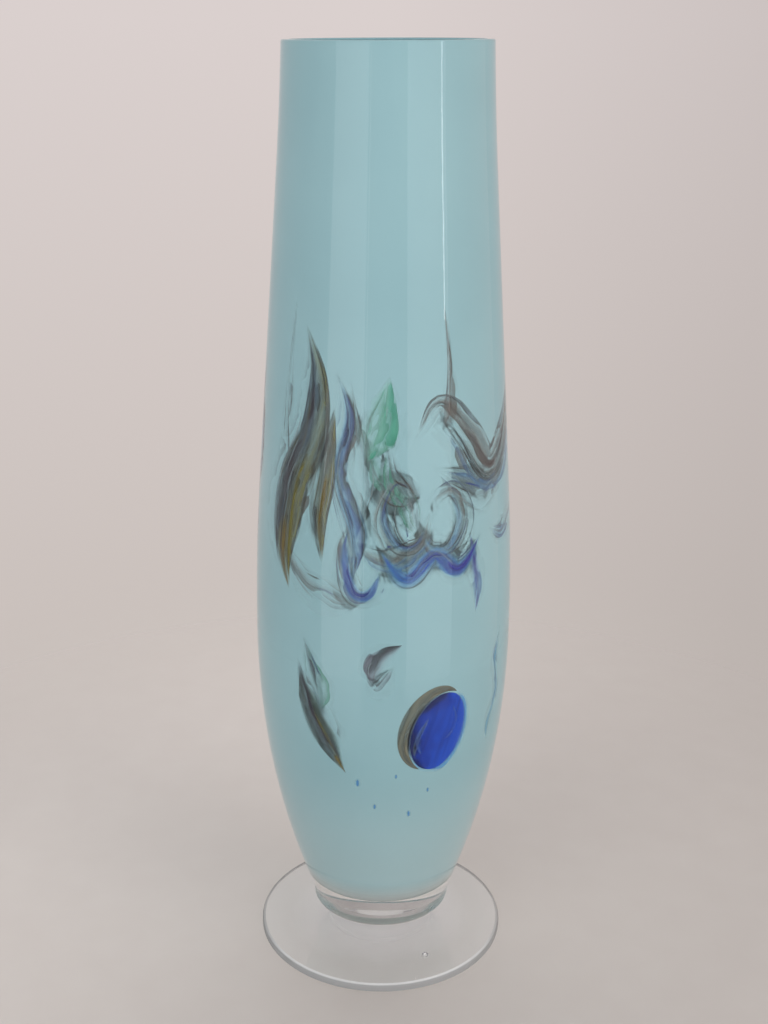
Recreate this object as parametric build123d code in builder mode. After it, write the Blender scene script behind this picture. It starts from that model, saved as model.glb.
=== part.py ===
from build123d import *

import os
from dataclasses import dataclass
from math import cos, hypot, radians, sin

# A mouth-blown, cased glass vase standing on an applied foot, in millimetres.
# The vase stands on z = 0 with its axis on Z, and the front of it looks along -Y.

# Body, outside
height = 330.0
rim_radius = 34.3
neck_below_rim = 40.0  # where the straight taper starts to ease into the rim
neck_radius = 36.4
belly_height = 125.4
belly_radius = 46.0
shoulder_above_belly = 55.6  # where the belly's curve runs out into the taper
lip_radius = 25.9  # lowest and sharpest ring of the clear base
lip_height = 13.6
lip_band = 4.2  # upright band above the lip
lip_round = 1.1
rim_bevel = 0.35  # polished break on the cut rim

# Layers of the wall
casing_thickness = 2.4
opal_thickness = 1.1
colour_thickness = 0.9  # room for the coloured glass between opal and casing
bedding = 0.1  # clearance of a coloured bit from the opal and from the casing
base_thickness = 10.4  # solid clear glass under the opal bubble
opal_corner = 16.0  # the bubble's rounded bottom, outside

# Foot
foot_overhang = 0.5  # the foot is just wider than the belly
foot_edge = 3.1
foot_edge_round = 1.2
foot_heel_round = 0.7
disc_rise = 1.5  # how much higher the disc is at its stem than at its edge
join_radius = 8.0  # short stem under the base, where the foot is stuck to it
join_neck = 3.5  # upright part of the stem
stem_flare = 5.0  # how far the stem eases out into the disc
ring_width = 7.0  # flat ring that the vase stands on
underside_rise = 2.0
pontil_radius = 11.0
pontil_depth = 1.1  # ground and polished dish where the iron was broken off

overrun = 0.5  # how far a cut runs past what it cuts

# Decoration: each kind of trail or bit has its span round the body in degrees, its height
# and half its stroke
plume_span, plume_tall, plume_stroke = 27.0, 94.0, 6.8
ribbon_span, ribbon_tall, ribbon_stroke = 16.0, 74.0, 3.1
wave_span, wave_tall, wave_stroke = 66.0, 34.0, 5.2
ripple_span, ripple_tall, ripple_stroke = 48.0, 20.0, 3.6
leaf_span, leaf_tall, leaf_stroke = 15.0, 30.0, 5.6
haze_span, haze_tall, haze_stroke = 30.0, 12.0, 3.8
streak_span, streak_tall, streak_stroke = 25.0, 42.0, 4.6
comma_span, comma_tall, comma_stroke = 16.0, 17.0, 3.4
thread_span, thread_tall, thread_stroke = 11.0, 46.0, 1.5
bead_span, bead_tall = 26.5, 30.0
crescent_stroke = 4.2  # widest part of the crescent that hugs a bead
crescent_gap = 0.7
fleck_span, fleck_tall, fleck_radius = 34.0, 26.0, 1.3  # the flecks lie loose within these

# Heights of the decoration's centres: a band at mid-height, and a loose group under it
band_height = 197.0
ribbon_below_band = 4.0
wave_above_band = 10.0
leaf_above_band = 17.0
ripple_below_band = 30.0
haze_below_band = 25.0
group_below_band = 89.0
comma_above_group = 23.0
thread_above_group = 5.0
bead_below_group = 5.0
flecks_below_group = 30.0

# Outlines of the trails, as shares of their own width, height and stroke:
# across, up, and half-width at that point
plume_shares = [
    (-0.12, -0.50, 0.0), (-0.30, -0.32, 0.85), (-0.14, -0.08, 1.0),
    (0.22, 0.12, 0.8), (0.26, 0.32, 0.5), (0.02, 0.50, 0.0),
]
ribbon_shares = [
    (0.20, -0.50, 0.0), (0.34, -0.24, 1.0), (-0.16, 0.04, 0.8),
    (0.06, 0.30, 0.7), (-0.30, 0.50, 0.0),
]
wave_shares = [
    (-0.50, -0.02, 0.0), (-0.33, 0.36, 0.6), (-0.12, 0.04, 0.9),
    (0.08, -0.34, 1.0), (0.30, -0.04, 0.8), (0.50, 0.50, 0.0),
]
ripple_shares = [
    (-0.50, 0.28, 0.0), (-0.26, -0.28, 0.9), (0.00, 0.10, 0.9),
    (0.24, -0.22, 1.0), (0.50, 0.30, 0.0),
]
leaf_shares = [(-0.30, -0.50, 0.0), (-0.02, -0.16, 1.0), (0.16, 0.18, 0.7), (0.34, 0.50, 0.0)]
haze_shares = [(-0.50, 0.10, 0.0), (-0.14, -0.22, 1.0), (0.18, 0.02, 0.8), (0.50, 0.34, 0.0)]
streak_shares = [(-0.42, 0.50, 0.0), (-0.20, 0.14, 0.8), (0.14, -0.18, 1.0), (0.46, -0.50, 0.0)]
comma_shares = [(0.50, 0.40, 0.0), (0.12, 0.20, 0.8), (-0.20, -0.10, 1.0), (-0.26, -0.50, 0.0)]
thread_shares = [
    (0.34, 0.50, 0.0), (-0.10, 0.22, 0.9), (0.16, -0.06, 0.8), (-0.30, -0.32, 1.0),
    (-0.16, -0.50, 0.0),
]
# Flecks: across and up, as shares of their span and height, and size as a share of a fleck's radius
fleck_shares = [
    (-0.46, 0.22, 1.0), (-0.24, -0.16, 0.7), (0.02, 0.34, 0.55), (0.20, -0.30, 0.85),
    (0.44, 0.06, 0.6),
]
fleck_tall_share = 1.7  # a fleck is drawn out upwards
crescent_shift_shares = (-0.75, 0.5)  # which way the crescent lies from its bead


@dataclass
class Trail:
    """A drawn-out bit of coloured glass, laid on the bubble along a curved path."""

    name: str
    azimuth: float
    centre_height: float
    width: float
    tall: float
    stroke: float
    shares: list
    hand: int = 1  # -1 for the same gesture turned the other way


def chord(span):
    """Width across the body of what spans some degrees of its widest ring."""
    return 2 * belly_radius * sin(radians(span / 2))


def kind(centre_height, span, tall, stroke, shares):
    """Sizes that all trails of one kind share, with the span turned into a width."""
    return centre_height, chord(span), tall, stroke, shares


def trail(name, azimuth, kind_sizes, hand=1):
    """One trail of a named kind, at its place round the body."""
    return Trail(name, azimuth, *kind_sizes, hand)


group_height = band_height - group_below_band
bead_height = group_height - bead_below_group
fleck_height = group_height - flecks_below_group

plume = kind(band_height, plume_span, plume_tall, plume_stroke, plume_shares)
ribbon = kind(
    band_height - ribbon_below_band, ribbon_span, ribbon_tall, ribbon_stroke, ribbon_shares
)
wave = kind(band_height + wave_above_band, wave_span, wave_tall, wave_stroke, wave_shares)
ripple = kind(
    band_height - ripple_below_band, ripple_span, ripple_tall, ripple_stroke, ripple_shares
)
leaf = kind(band_height + leaf_above_band, leaf_span, leaf_tall, leaf_stroke, leaf_shares)
haze = kind(band_height - haze_below_band, haze_span, haze_tall, haze_stroke, haze_shares)
streak = kind(group_height, streak_span, streak_tall, streak_stroke, streak_shares)
comma = kind(
    group_height + comma_above_group, comma_span, comma_tall, comma_stroke, comma_shares
)
thread = kind(
    group_height + thread_above_group, thread_span, thread_tall, thread_stroke, thread_shares
)

# Where each piece sits round the body, in degrees: 0 is the front, 90 the right-hand side
trails = [
    trail("amber_plume", -42.0, plume),
    trail("ink_ribbon", -18.0, ribbon),
    trail("emerald_leaf", -4.0, leaf),
    trail("taupe_wave", 51.0, wave),
    trail("cobalt_ripple", 23.0, ripple),
    trail("smoke_haze", 70.0, haze),
    trail("forest_streak", -30.0, streak),
    trail("aubergine_comma", 0.0, comma),
    trail("turquoise_trail", 62.0, thread),
    trail("rear_ink_ribbon", -84.0, ribbon, -1),
    trail("rear_taupe_wave", -136.0, wave, -1),
    trail("rear_cobalt_ripple", -124.0, ripple, -1),
    trail("rear_amber_plume", 163.0, plume, -1),
    trail("rear_emerald_leaf", 122.0, leaf, -1),
    trail("rear_forest_streak", 116.0, streak, -1),
]
bead_azimuth, bead_lean = 27.0, -14.0
rear_bead_azimuth, rear_bead_lean = -146.0, 16.0
fleck_azimuth = 6.0


foot_radius = belly_radius + foot_overhang
neck_height = height - neck_below_rim
shoulder_height = belly_height + shoulder_above_belly


def draw_wall(depth):
    """Closed line from the axis up the wall at a depth below the outside, and back."""
    lip_top = (lip_radius - depth, lip_height + lip_band)
    belly = (belly_radius - depth, belly_height)
    # The straight taper carries on at the slope the belly's curve ends with
    taper_rise = neck_height - shoulder_height
    curve_share = shoulder_above_belly / (shoulder_above_belly + 2 * taper_rise)
    shoulder_drop = (belly_radius - neck_radius) * curve_share
    shoulder = (belly_radius - shoulder_drop - depth, shoulder_height)
    neck = (neck_radius - depth, neck_height)
    rim = (rim_radius - depth, height)
    lower = TangentArc(belly, lip_top, tangent=(0, -1))
    upper = TangentArc(belly, shoulder, tangent=(0, 1))
    taper = Line(upper @ 1, neck)
    TangentArc(neck, rim, tangent=taper % 1)
    Polyline(rim, (0, height), (0, lip_height + lip_band), lower @ 1)


def layer_sketch(depth, bottom, corner):
    """Half-section of everything inside a layer, with a rounded bottom at a height."""
    with BuildSketch(Plane.XZ) as section:
        with BuildLine():
            draw_wall(depth)
        make_face()
        with Locations((0, bottom)):
            Rectangle(belly_radius, height, align=(Align.MIN, Align.MAX), mode=Mode.SUBTRACT)
        low_corner = section.vertices().group_by(Axis.Y)[0].sort_by(Axis.X)[-1]
        fillet(low_corner, radius=corner)
    return section.sketch


opal_bottom = lip_height + base_thickness
opal_outside = layer_sketch(casing_thickness, opal_bottom, opal_corner)
opal_inside = layer_sketch(
    casing_thickness + opal_thickness, opal_bottom + opal_thickness, opal_corner - opal_thickness
)


def colour_ring(outer_depth, inner_depth):
    """Half-section of a ring round the body, between two depths below the outside."""
    with BuildSketch(Plane.XZ) as section:
        with BuildLine():
            draw_wall(outer_depth)
        make_face()
        with BuildLine():
            draw_wall(inner_depth)
        make_face(mode=Mode.SUBTRACT)
    return section.sketch


def facing(azimuth):
    """Upright plane through the axis, seen from outside at an azimuth."""
    turn = radians(azimuth)
    return Plane(origin=(0, 0, 0), x_dir=(cos(turn), sin(turn), 0), z_dir=(sin(turn), -cos(turn), 0))


def trail_outline(piece):
    """Closed line round a trail: out along one side of its path and back along the other."""
    middle = [
        (piece.hand * across * piece.width, piece.centre_height + up * piece.tall)
        for across, up, _ in piece.shares
    ]
    left, right = [], []
    for i in range(1, len(middle) - 1):
        run = middle[i + 1][0] - middle[i - 1][0]
        rise = middle[i + 1][1] - middle[i - 1][1]
        half = piece.shares[i][2] * piece.stroke / hypot(run, rise)
        x, z = middle[i]
        left.append((x - rise * half, z + run * half))
        right.append((x + rise * half, z - run * half))
    Spline(middle[0], *left, middle[-1])
    Spline(middle[-1], *reversed(right), middle[0])


def bedded(azimuth, outline, outer_depth, inner_depth):
    """A flat outline carried onto the body: the part of the colour ring that it covers."""
    with BuildPart() as piece:
        with BuildSketch(Plane.XZ):
            add(colour_ring(outer_depth, inner_depth))
        revolve(axis=Axis.Z)
        with BuildSketch(facing(azimuth)):
            add(outline)
        extrude(amount=belly_radius, mode=Mode.INTERSECT)
    return piece.part


def trail_face(piece):
    """Face of one trail."""
    with BuildSketch() as face:
        with BuildLine():
            trail_outline(piece)
        make_face()
    return face.sketch


def bead_face(lean):
    """Face of a rounded bead."""
    with BuildSketch() as face:
        with Locations(Location((0, bead_height, 0), (0, 0, lean))):
            Ellipse(chord(bead_span) / 2, bead_tall / 2)
    return face.sketch


def crescent_face(lean):
    """Face of the crescent that hugs a bead on one side."""
    across = crescent_shift_shares[0] * crescent_stroke
    up = crescent_shift_shares[1] * crescent_stroke
    half_width = chord(bead_span) / 2 + crescent_gap
    half_tall = bead_tall / 2 + crescent_gap
    with BuildSketch() as face:
        with Locations(Location((across, bead_height + up, 0), (0, 0, lean))):
            Ellipse(half_width, half_tall)
        with Locations(Location((0, bead_height, 0), (0, 0, lean))):
            Ellipse(half_width, half_tall, mode=Mode.SUBTRACT)
    return face.sketch


def fleck_faces():
    """Faces of the loose flecks."""
    with BuildSketch() as face:
        for across, up, size in fleck_shares:
            with Locations((across * chord(fleck_span), fleck_height + up * fleck_tall)):
                Ellipse(size * fleck_radius, size * fleck_radius * fleck_tall_share)
    return face.sketch


bits = [(piece.name, piece.azimuth, trail_face(piece)) for piece in trails]
bits.append(("cobalt_bead", bead_azimuth, bead_face(bead_lean)))
bits.append(("khaki_crescent", bead_azimuth, crescent_face(bead_lean)))
bits.append(("rear_cobalt_bead", rear_bead_azimuth, bead_face(rear_bead_lean)))
bits.append(("blue_flecks", fleck_azimuth, fleck_faces()))

os.makedirs("parts", exist_ok=True)

# Coloured bits, each lying on the opal and sunk in a pocket of the casing
pocket_depth = casing_thickness - colour_thickness
pockets = []
for name, azimuth, outline in bits:
    bit = bedded(azimuth, outline, pocket_depth + bedding, casing_thickness - bedding)
    bit.label = name
    export_step(bit, f"parts/{name}.step")
    pockets.append(bedded(azimuth, outline, pocket_depth, casing_thickness + overrun))

# Opal bubble: the coloured body that holds the water
with BuildPart() as opal_lining:
    with BuildSketch(Plane.XZ):
        add(opal_outside)
        add(opal_inside, mode=Mode.SUBTRACT)
    revolve(axis=Axis.Z)
    well_edge = opal_lining.edges().group_by(Axis.Z)[-1].sort_by(SortBy.RADIUS)[0]
    chamfer(well_edge, length=rim_bevel)
opal_lining.part.label = "opal_lining"
export_step(opal_lining.part, "parts/opal_lining.step")

# Clear casing: the outer gather, thick and solid below the bubble
with BuildPart() as clear_casing:
    with BuildSketch(Plane.XZ) as casing_section:
        with BuildLine():
            draw_wall(0)
        make_face()
        with Locations((0, lip_height + lip_band)):
            Rectangle(lip_radius, lip_band, align=(Align.MIN, Align.MAX))
        lip_corner = casing_section.vertices().group_by(Axis.Y)[0].sort_by(Axis.X)[-1]
        fillet(lip_corner, radius=lip_round)
        add(opal_outside, mode=Mode.SUBTRACT)
    revolve(axis=Axis.Z)
    rim_edge = clear_casing.edges().group_by(Axis.Z)[-1].sort_by(SortBy.RADIUS)[-1]
    chamfer(rim_edge, length=rim_bevel)
    for pocket in pockets:
        add(pocket, mode=Mode.SUBTRACT)
clear_casing.part.label = "clear_casing"
export_step(clear_casing.part, "parts/clear_casing.step")

# Foot: a gather stuck to the base and spun out, thin at its fire-polished edge
with BuildPart() as foot:
    with BuildSketch(Plane.XZ) as foot_section:
        with BuildLine():
            disc_edge = (foot_radius - foot_edge_round, foot_edge)
            disc_middle = (join_radius + stem_flare, foot_edge + disc_rise)
            stem_foot = (join_radius, lip_height - join_neck)
            ring_inside = foot_radius - foot_heel_round - ring_width
            disc_top = TangentArc(disc_edge, disc_middle, tangent=(-1, 0))
            TangentArc(disc_middle, stem_foot, tangent=disc_top % 1)
            Polyline(stem_foot, (join_radius, lip_height), (0, lip_height))
            Line((0, lip_height), (0, underside_rise + pontil_depth))
            TangentArc(
                (0, underside_rise + pontil_depth), (pontil_radius, underside_rise), tangent=(1, 0)
            )
            TangentArc((ring_inside, 0), (pontil_radius, underside_rise), tangent=(-1, 0))
            Polyline((ring_inside, 0), (foot_radius, 0), (foot_radius, foot_edge), disc_edge)
        make_face()
        outer = foot_section.vertices().group_by(Axis.X)[-1].sort_by(Axis.Y)
        fillet(outer[0], radius=foot_heel_round)
        fillet(outer[1], radius=foot_edge_round)
    revolve(axis=Axis.Z)
foot.part.label = "foot"
export_step(foot.part, "parts/foot.step")
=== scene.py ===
import logging
import math
import random
from dataclasses import dataclass, field
from enum import Enum

import bmesh
import bpy
import numpy as np
from bpy.types import Material, Node, NodeSocket, NodeTree, Object
from mathutils import Matrix, Vector


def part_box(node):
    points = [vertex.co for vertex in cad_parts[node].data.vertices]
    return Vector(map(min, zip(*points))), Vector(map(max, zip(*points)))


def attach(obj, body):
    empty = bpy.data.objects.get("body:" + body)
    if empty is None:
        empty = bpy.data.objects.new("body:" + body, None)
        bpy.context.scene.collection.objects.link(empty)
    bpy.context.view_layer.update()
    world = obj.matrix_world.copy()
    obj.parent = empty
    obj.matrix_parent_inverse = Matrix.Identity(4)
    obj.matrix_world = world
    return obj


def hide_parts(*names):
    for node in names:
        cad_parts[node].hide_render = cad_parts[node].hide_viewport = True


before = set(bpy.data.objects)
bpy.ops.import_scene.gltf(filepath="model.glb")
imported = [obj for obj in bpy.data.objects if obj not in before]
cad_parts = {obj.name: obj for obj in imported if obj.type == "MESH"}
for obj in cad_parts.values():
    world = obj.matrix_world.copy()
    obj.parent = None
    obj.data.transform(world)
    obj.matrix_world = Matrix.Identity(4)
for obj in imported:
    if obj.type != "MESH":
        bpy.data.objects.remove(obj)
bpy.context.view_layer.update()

log = logging.getLogger("glass_vase")
logging.basicConfig(level=logging.INFO, format="%(name)s: %(message)s")

MM = 0.001  # the script's lengths are millimetres, and Blender's are metres
WHITE = (1.0, 1.0, 1.0, 1.0)

Pair = tuple[float, float]
Triples = tuple[tuple[float, float, float], ...]


def linear(code: str) -> tuple[float, float, float, float]:
    """Turn an sRGB hex colour into the linear colour that shaders take.

    Args:
        code: Six hex digits after a hash sign.

    Returns:
        Linear red, green and blue, with an alpha of 1.
    """
    shares = [int(code[i : i + 2], 16) / 255 for i in (1, 3, 5)]
    red, green, blue = (c / 12.92 if c <= 0.04045 else ((c + 0.055) / 1.055) ** 2.4 for c in shares)
    return red, green, blue, 1.0


def add(tree: NodeTree, kind: str, inputs: dict | None = None, **settings: object) -> Node:
    """Add a node with its settings, its input values and its links.

    Args:
        tree: The node tree that takes the node.
        kind: The node's type name, without the ShaderNode that it starts with.
        inputs: Input name or number, to a value or to what feeds it: a socket, or a node whose
            first output does.
        **settings: Properties of the node itself.

    Returns:
        The new node.
    """
    made = tree.nodes.new(f"ShaderNode{kind}")
    for name, value in settings.items():
        setattr(made, name, value)
    for name, value in (inputs or {}).items():
        feed = value.outputs[0] if isinstance(value, Node) else value
        if isinstance(feed, NodeSocket):
            tree.links.new(feed, made.inputs[name])
        else:
            made.inputs[name].default_value = feed
    return made


def open_to_lamps(tree: NodeTree, seen: Node, colour: tuple | NodeSocket = WHITE) -> Node:
    """Let the light of lamps through a glass unbent, which eyes and gloss see as it is.

    Args:
        tree: The material's tree.
        seen: The shader that eyes and gloss see.
        colour: What light is multiplied by on its way through.

    Returns:
        The shader for both.
    """
    through = add(tree, "BsdfTransparent", {"Color": colour})
    path = add(tree, "LightPath").outputs
    lamps = add(tree, "Math", {0: path["Is Shadow Ray"], 1: path["Is Diffuse Ray"]}, operation="MAXIMUM")
    return add(tree, "MixShader", {0: lamps, 1: seen, 2: through})


class Side(Enum):
    """Which side of a trail has the hard, dark edge; the other one fades out."""

    LOW = 0
    HIGH = 1
    NONE = 2


@dataclass(frozen=True)
class Finish:
    """What all finishes have in common: a name, and a material that ends in their shader."""

    name: str

    def surface(self, tree: NodeTree) -> Node:
        """Build the finish's shader in a material's empty tree."""
        raise NotImplementedError

    def material(self, ending: str = "") -> Material:
        """Build the material.

        Args:
            ending: What the material's name has after the finish's.

        Returns:
            The material.
        """
        made = bpy.data.materials.new(f"{self.name}{ending}")
        made.use_nodes = True
        tree = made.node_tree
        tree.nodes.clear()
        add(tree, "OutputMaterial", {"Surface": self.surface(tree)})
        return made


@dataclass(frozen=True)
class ClearGlass(Finish):
    """Soda-lime glass, blown and fire-polished.

    It is colourless when thin and faintly grey-green where one looks along it, with a mirror-like
    skin. Light that goes through it to what lies behind is let through unbent, a little dimmed
    where the glass stands edge-on, so that opal and shelf are lit as they are under real glass.
    """

    tint: str = "#fcfefd"
    shade_face: str = "#fefefe"
    shade_edge: str = "#f2f5f5"
    shade_blend: float = 0.35
    haze: float = 0.0  # share of light that it scatters near the vase's axis
    haze_rim: float = 0.0  # and far out, where it was spun thin
    haze_from_mm: float = 16.0
    haze_to_mm: float = 36.0
    haze_colour: str = "#f9f6f9"
    caught: str = "#8fb6be"  # what the opal lends to light that stays caught in the wall
    caught_after: float = 1.5  # reflections
    ior: float = 1.5
    skin_wave_mm: float = 24.0  # slow waves that hand work leaves in the skin
    skin_wave_strength: float = 0.02

    def surface(self, tree: NodeTree) -> Node:
        """Build the shader.

        Args:
            tree: The material's tree.

        Returns:
            A glass that lets lamps through.
        """
        place = add(tree, "TexCoord").outputs["Object"]
        waves = add(tree, "TexNoise", {"Vector": place, "Scale": 1 / (self.skin_wave_mm * MM), "Detail": 1.0})
        bump = add(tree, "Bump", {"Height": waves, "Strength": self.skin_wave_strength, "Distance": MM})
        glass = add(tree, "BsdfPrincipled", {
            "Base Color": linear(self.tint), "Roughness": 0.0, "IOR": self.ior,
            "Transmission Weight": 1.0, "Normal": bump,
        })
        flat = add(tree, "VectorMath", {0: place, 1: (1.0, 1.0, 0.0)}, operation="MULTIPLY")
        out = add(tree, "VectorMath", {0: flat}, operation="LENGTH").outputs["Value"]
        milky = add(tree, "MapRange", {
            "Value": out, "From Min": self.haze_from_mm * MM, "From Max": self.haze_to_mm * MM,
            "To Min": self.haze, "To Max": self.haze_rim,
        })
        milk = add(tree, "BsdfDiffuse", {"Color": linear(self.haze_colour)})
        hazy = add(tree, "MixShader", {0: milky, 1: glass, 2: milk})
        reflections = add(tree, "LightPath").outputs["Glossy Depth"]
        long_way = add(tree, "Math", {0: reflections, 1: self.caught_after}, operation="GREATER_THAN")
        opal = add(tree, "BsdfDiffuse", {"Color": linear(self.caught)})
        inside = add(tree, "MixShader", {0: long_way, 1: hazy, 2: opal})
        facing = add(tree, "LayerWeight", {"Blend": self.shade_blend}).outputs["Facing"]
        shades = {0: facing, 6: linear(self.shade_face), 7: linear(self.shade_edge)}
        return open_to_lamps(tree, inside, add(tree, "Mix", shades, data_type="RGBA").outputs[2])


@dataclass(frozen=True)
class FusedJoin(Finish):
    """The face where foot and base are melted together: nothing shows there."""

    def surface(self, tree: NodeTree) -> Node:
        """Build the shader, which lets everything through."""
        return add(tree, "BsdfTransparent", {"Color": WHITE})


@dataclass(frozen=True)
class EdgeGlass(Finish):
    """The same glass at the fire-polished edge of the foot.

    Light that has been piped through the whole disc comes out here, painted on as an even, soft
    grey glow under its mirror-like skin, darker on its far half as painted shade, with a painted
    highlight where it rounds into the top.
    """

    glow: str = "#a9acac"
    glow_behind: str = "#8b8886"  # painted shade: its far half is darker, as it sees the darker room
    # painted highlight: a bright line where the edge rounds into the top
    painted_highlight: str = "#eceeee"
    share: float = 0.72  # of the light that comes from inside the disc
    painted_highlight_from_mm: float = 2.6
    painted_highlight_to_mm: float = 2.95
    painted_highlight_behind_mm: float = -8.0  # the painted highlight fades towards the back, which no window lights
    painted_highlight_front_mm: float = -40.0
    painted_highlight_least: float = 0.15  # share of it that is left there
    ior: float = 1.5

    def surface(self, tree: NodeTree) -> Node:
        """Build the shader.

        Args:
            tree: The material's tree.

        Returns:
            A glossy glass with a soft glow.
        """
        _, back, up = add(tree, "SeparateXYZ", {0: add(tree, "TexCoord").outputs["Object"]}).outputs
        top, front, behind = (
            add(tree, "MapRange", {
                "Value": place, "From Min": start_mm * MM, "From Max": end_mm * MM, "To Min": least,
            }, interpolation_type="SMOOTHSTEP")
            for place, start_mm, end_mm, least in (
                (up, self.painted_highlight_from_mm, self.painted_highlight_to_mm, 0.0),
                (back, self.painted_highlight_behind_mm, self.painted_highlight_front_mm, self.painted_highlight_least),
                (back, self.painted_highlight_front_mm, -self.painted_highlight_front_mm / 2, 0.0),
            )
        )
        # Painted highlight at the front of the top rounding, and painted shade on the far half
        lit = add(tree, "Math", {0: top, 1: front}, operation="MULTIPLY")
        colour = linear(self.glow)
        for share, code in ((behind, self.glow_behind), (lit, self.painted_highlight)):
            colour = add(tree, "Mix", {0: share, 6: colour, 7: linear(code)}, data_type="RGBA").outputs[2]
        glow = add(tree, "BsdfDiffuse", {"Color": colour})
        glass = add(tree, "BsdfPrincipled", {
            "Base Color": WHITE, "Roughness": 0.0, "IOR": self.ior, "Transmission Weight": 1.0,
        })
        return open_to_lamps(tree, add(tree, "MixShader", {0: self.share, 1: glass, 2: glow}))


@dataclass(frozen=True)
class OpalGlass(Finish):
    """Opal glass tinted aqua, blown thin.

    Fine crystals in it scatter light, so it is opaque and evenly pale, with slow clouds and faint
    drawn-out streaks where the colour was stretched. Low down and at its bottom it is painted paler,
    as painted light that comes up through the clear base. Where it is bonded to the casing it has no
    skin of its own; inside the well it is as glossy as any blown glass.
    """

    body: str = "#8fb6be"
    pale: str = "#9cc2c8"
    deep: str = "#86adb5"
    bonded: bool = True
    cloud_mm: float = 60.0
    streak_mm: float = 5.0
    stretch: float = 14.0  # a streak is this many times longer than it is wide
    streak_span: Pair = (0.45, 0.8)  # of its noise
    streak_depth: float = 0.35
    painted_low_light: str = "#a3c1c6"  # painted light: paler low down, where light comes up through the clear base
    painted_low_light_from_mm: float = 95.0
    painted_low_light_to_mm: float = 40.0
    lit: str = "#ccd9da"  # at its bottom, which the clear base lights from below
    lit_from_mm: float = 36.0
    lit_to_mm: float = 25.0

    def surface(self, tree: NodeTree) -> Node:
        """Build the shader.

        Args:
            tree: The material's tree.

        Returns:
            A pale opaque glass.
        """
        place = add(tree, "TexCoord").outputs["Object"]
        drawn = add(tree, "Mapping", {"Vector": place, "Scale": (1.0, 1.0, 1.0 / self.stretch)})
        clouds = add(tree, "TexNoise", {"Vector": place, "Scale": 1 / (self.cloud_mm * MM), "Detail": 2.0})
        streaks = add(tree, "TexNoise", {"Vector": drawn, "Scale": 1 / (self.streak_mm * MM), "Detail": 3.0})
        soft = add(tree, "MapRange", {
            "Value": streaks, "From Min": self.streak_span[0], "From Max": self.streak_span[1],
            "To Max": self.streak_depth,
        })
        layers = [(clouds, self.pale), (soft, self.body)]
        # Painted light: the colour turns paler low down and at the bottom
        up = add(tree, "SeparateXYZ", {0: place}).outputs["Z"]
        for code, start_mm, end_mm in (
            (self.painted_low_light, self.painted_low_light_from_mm, self.painted_low_light_to_mm),
            (self.lit, self.lit_from_mm, self.lit_to_mm),
        ):
            low = {"Value": up, "From Min": start_mm * MM, "From Max": end_mm * MM}
            layers.append((add(tree, "MapRange", low, interpolation_type="SMOOTHSTEP"), code))
        colour = linear(self.deep)
        for share, code in layers:
            colour = add(tree, "Mix", {0: share, 6: colour, 7: linear(code)}, data_type="RGBA").outputs[2]
        return add(tree, "BsdfPrincipled", {
            "Base Color": colour, "Roughness": 0.6 if self.bonded else 0.06, "IOR": 1.5,
            "Specular IOR Level": 0.0 if self.bonded else 0.5,
        })


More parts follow.
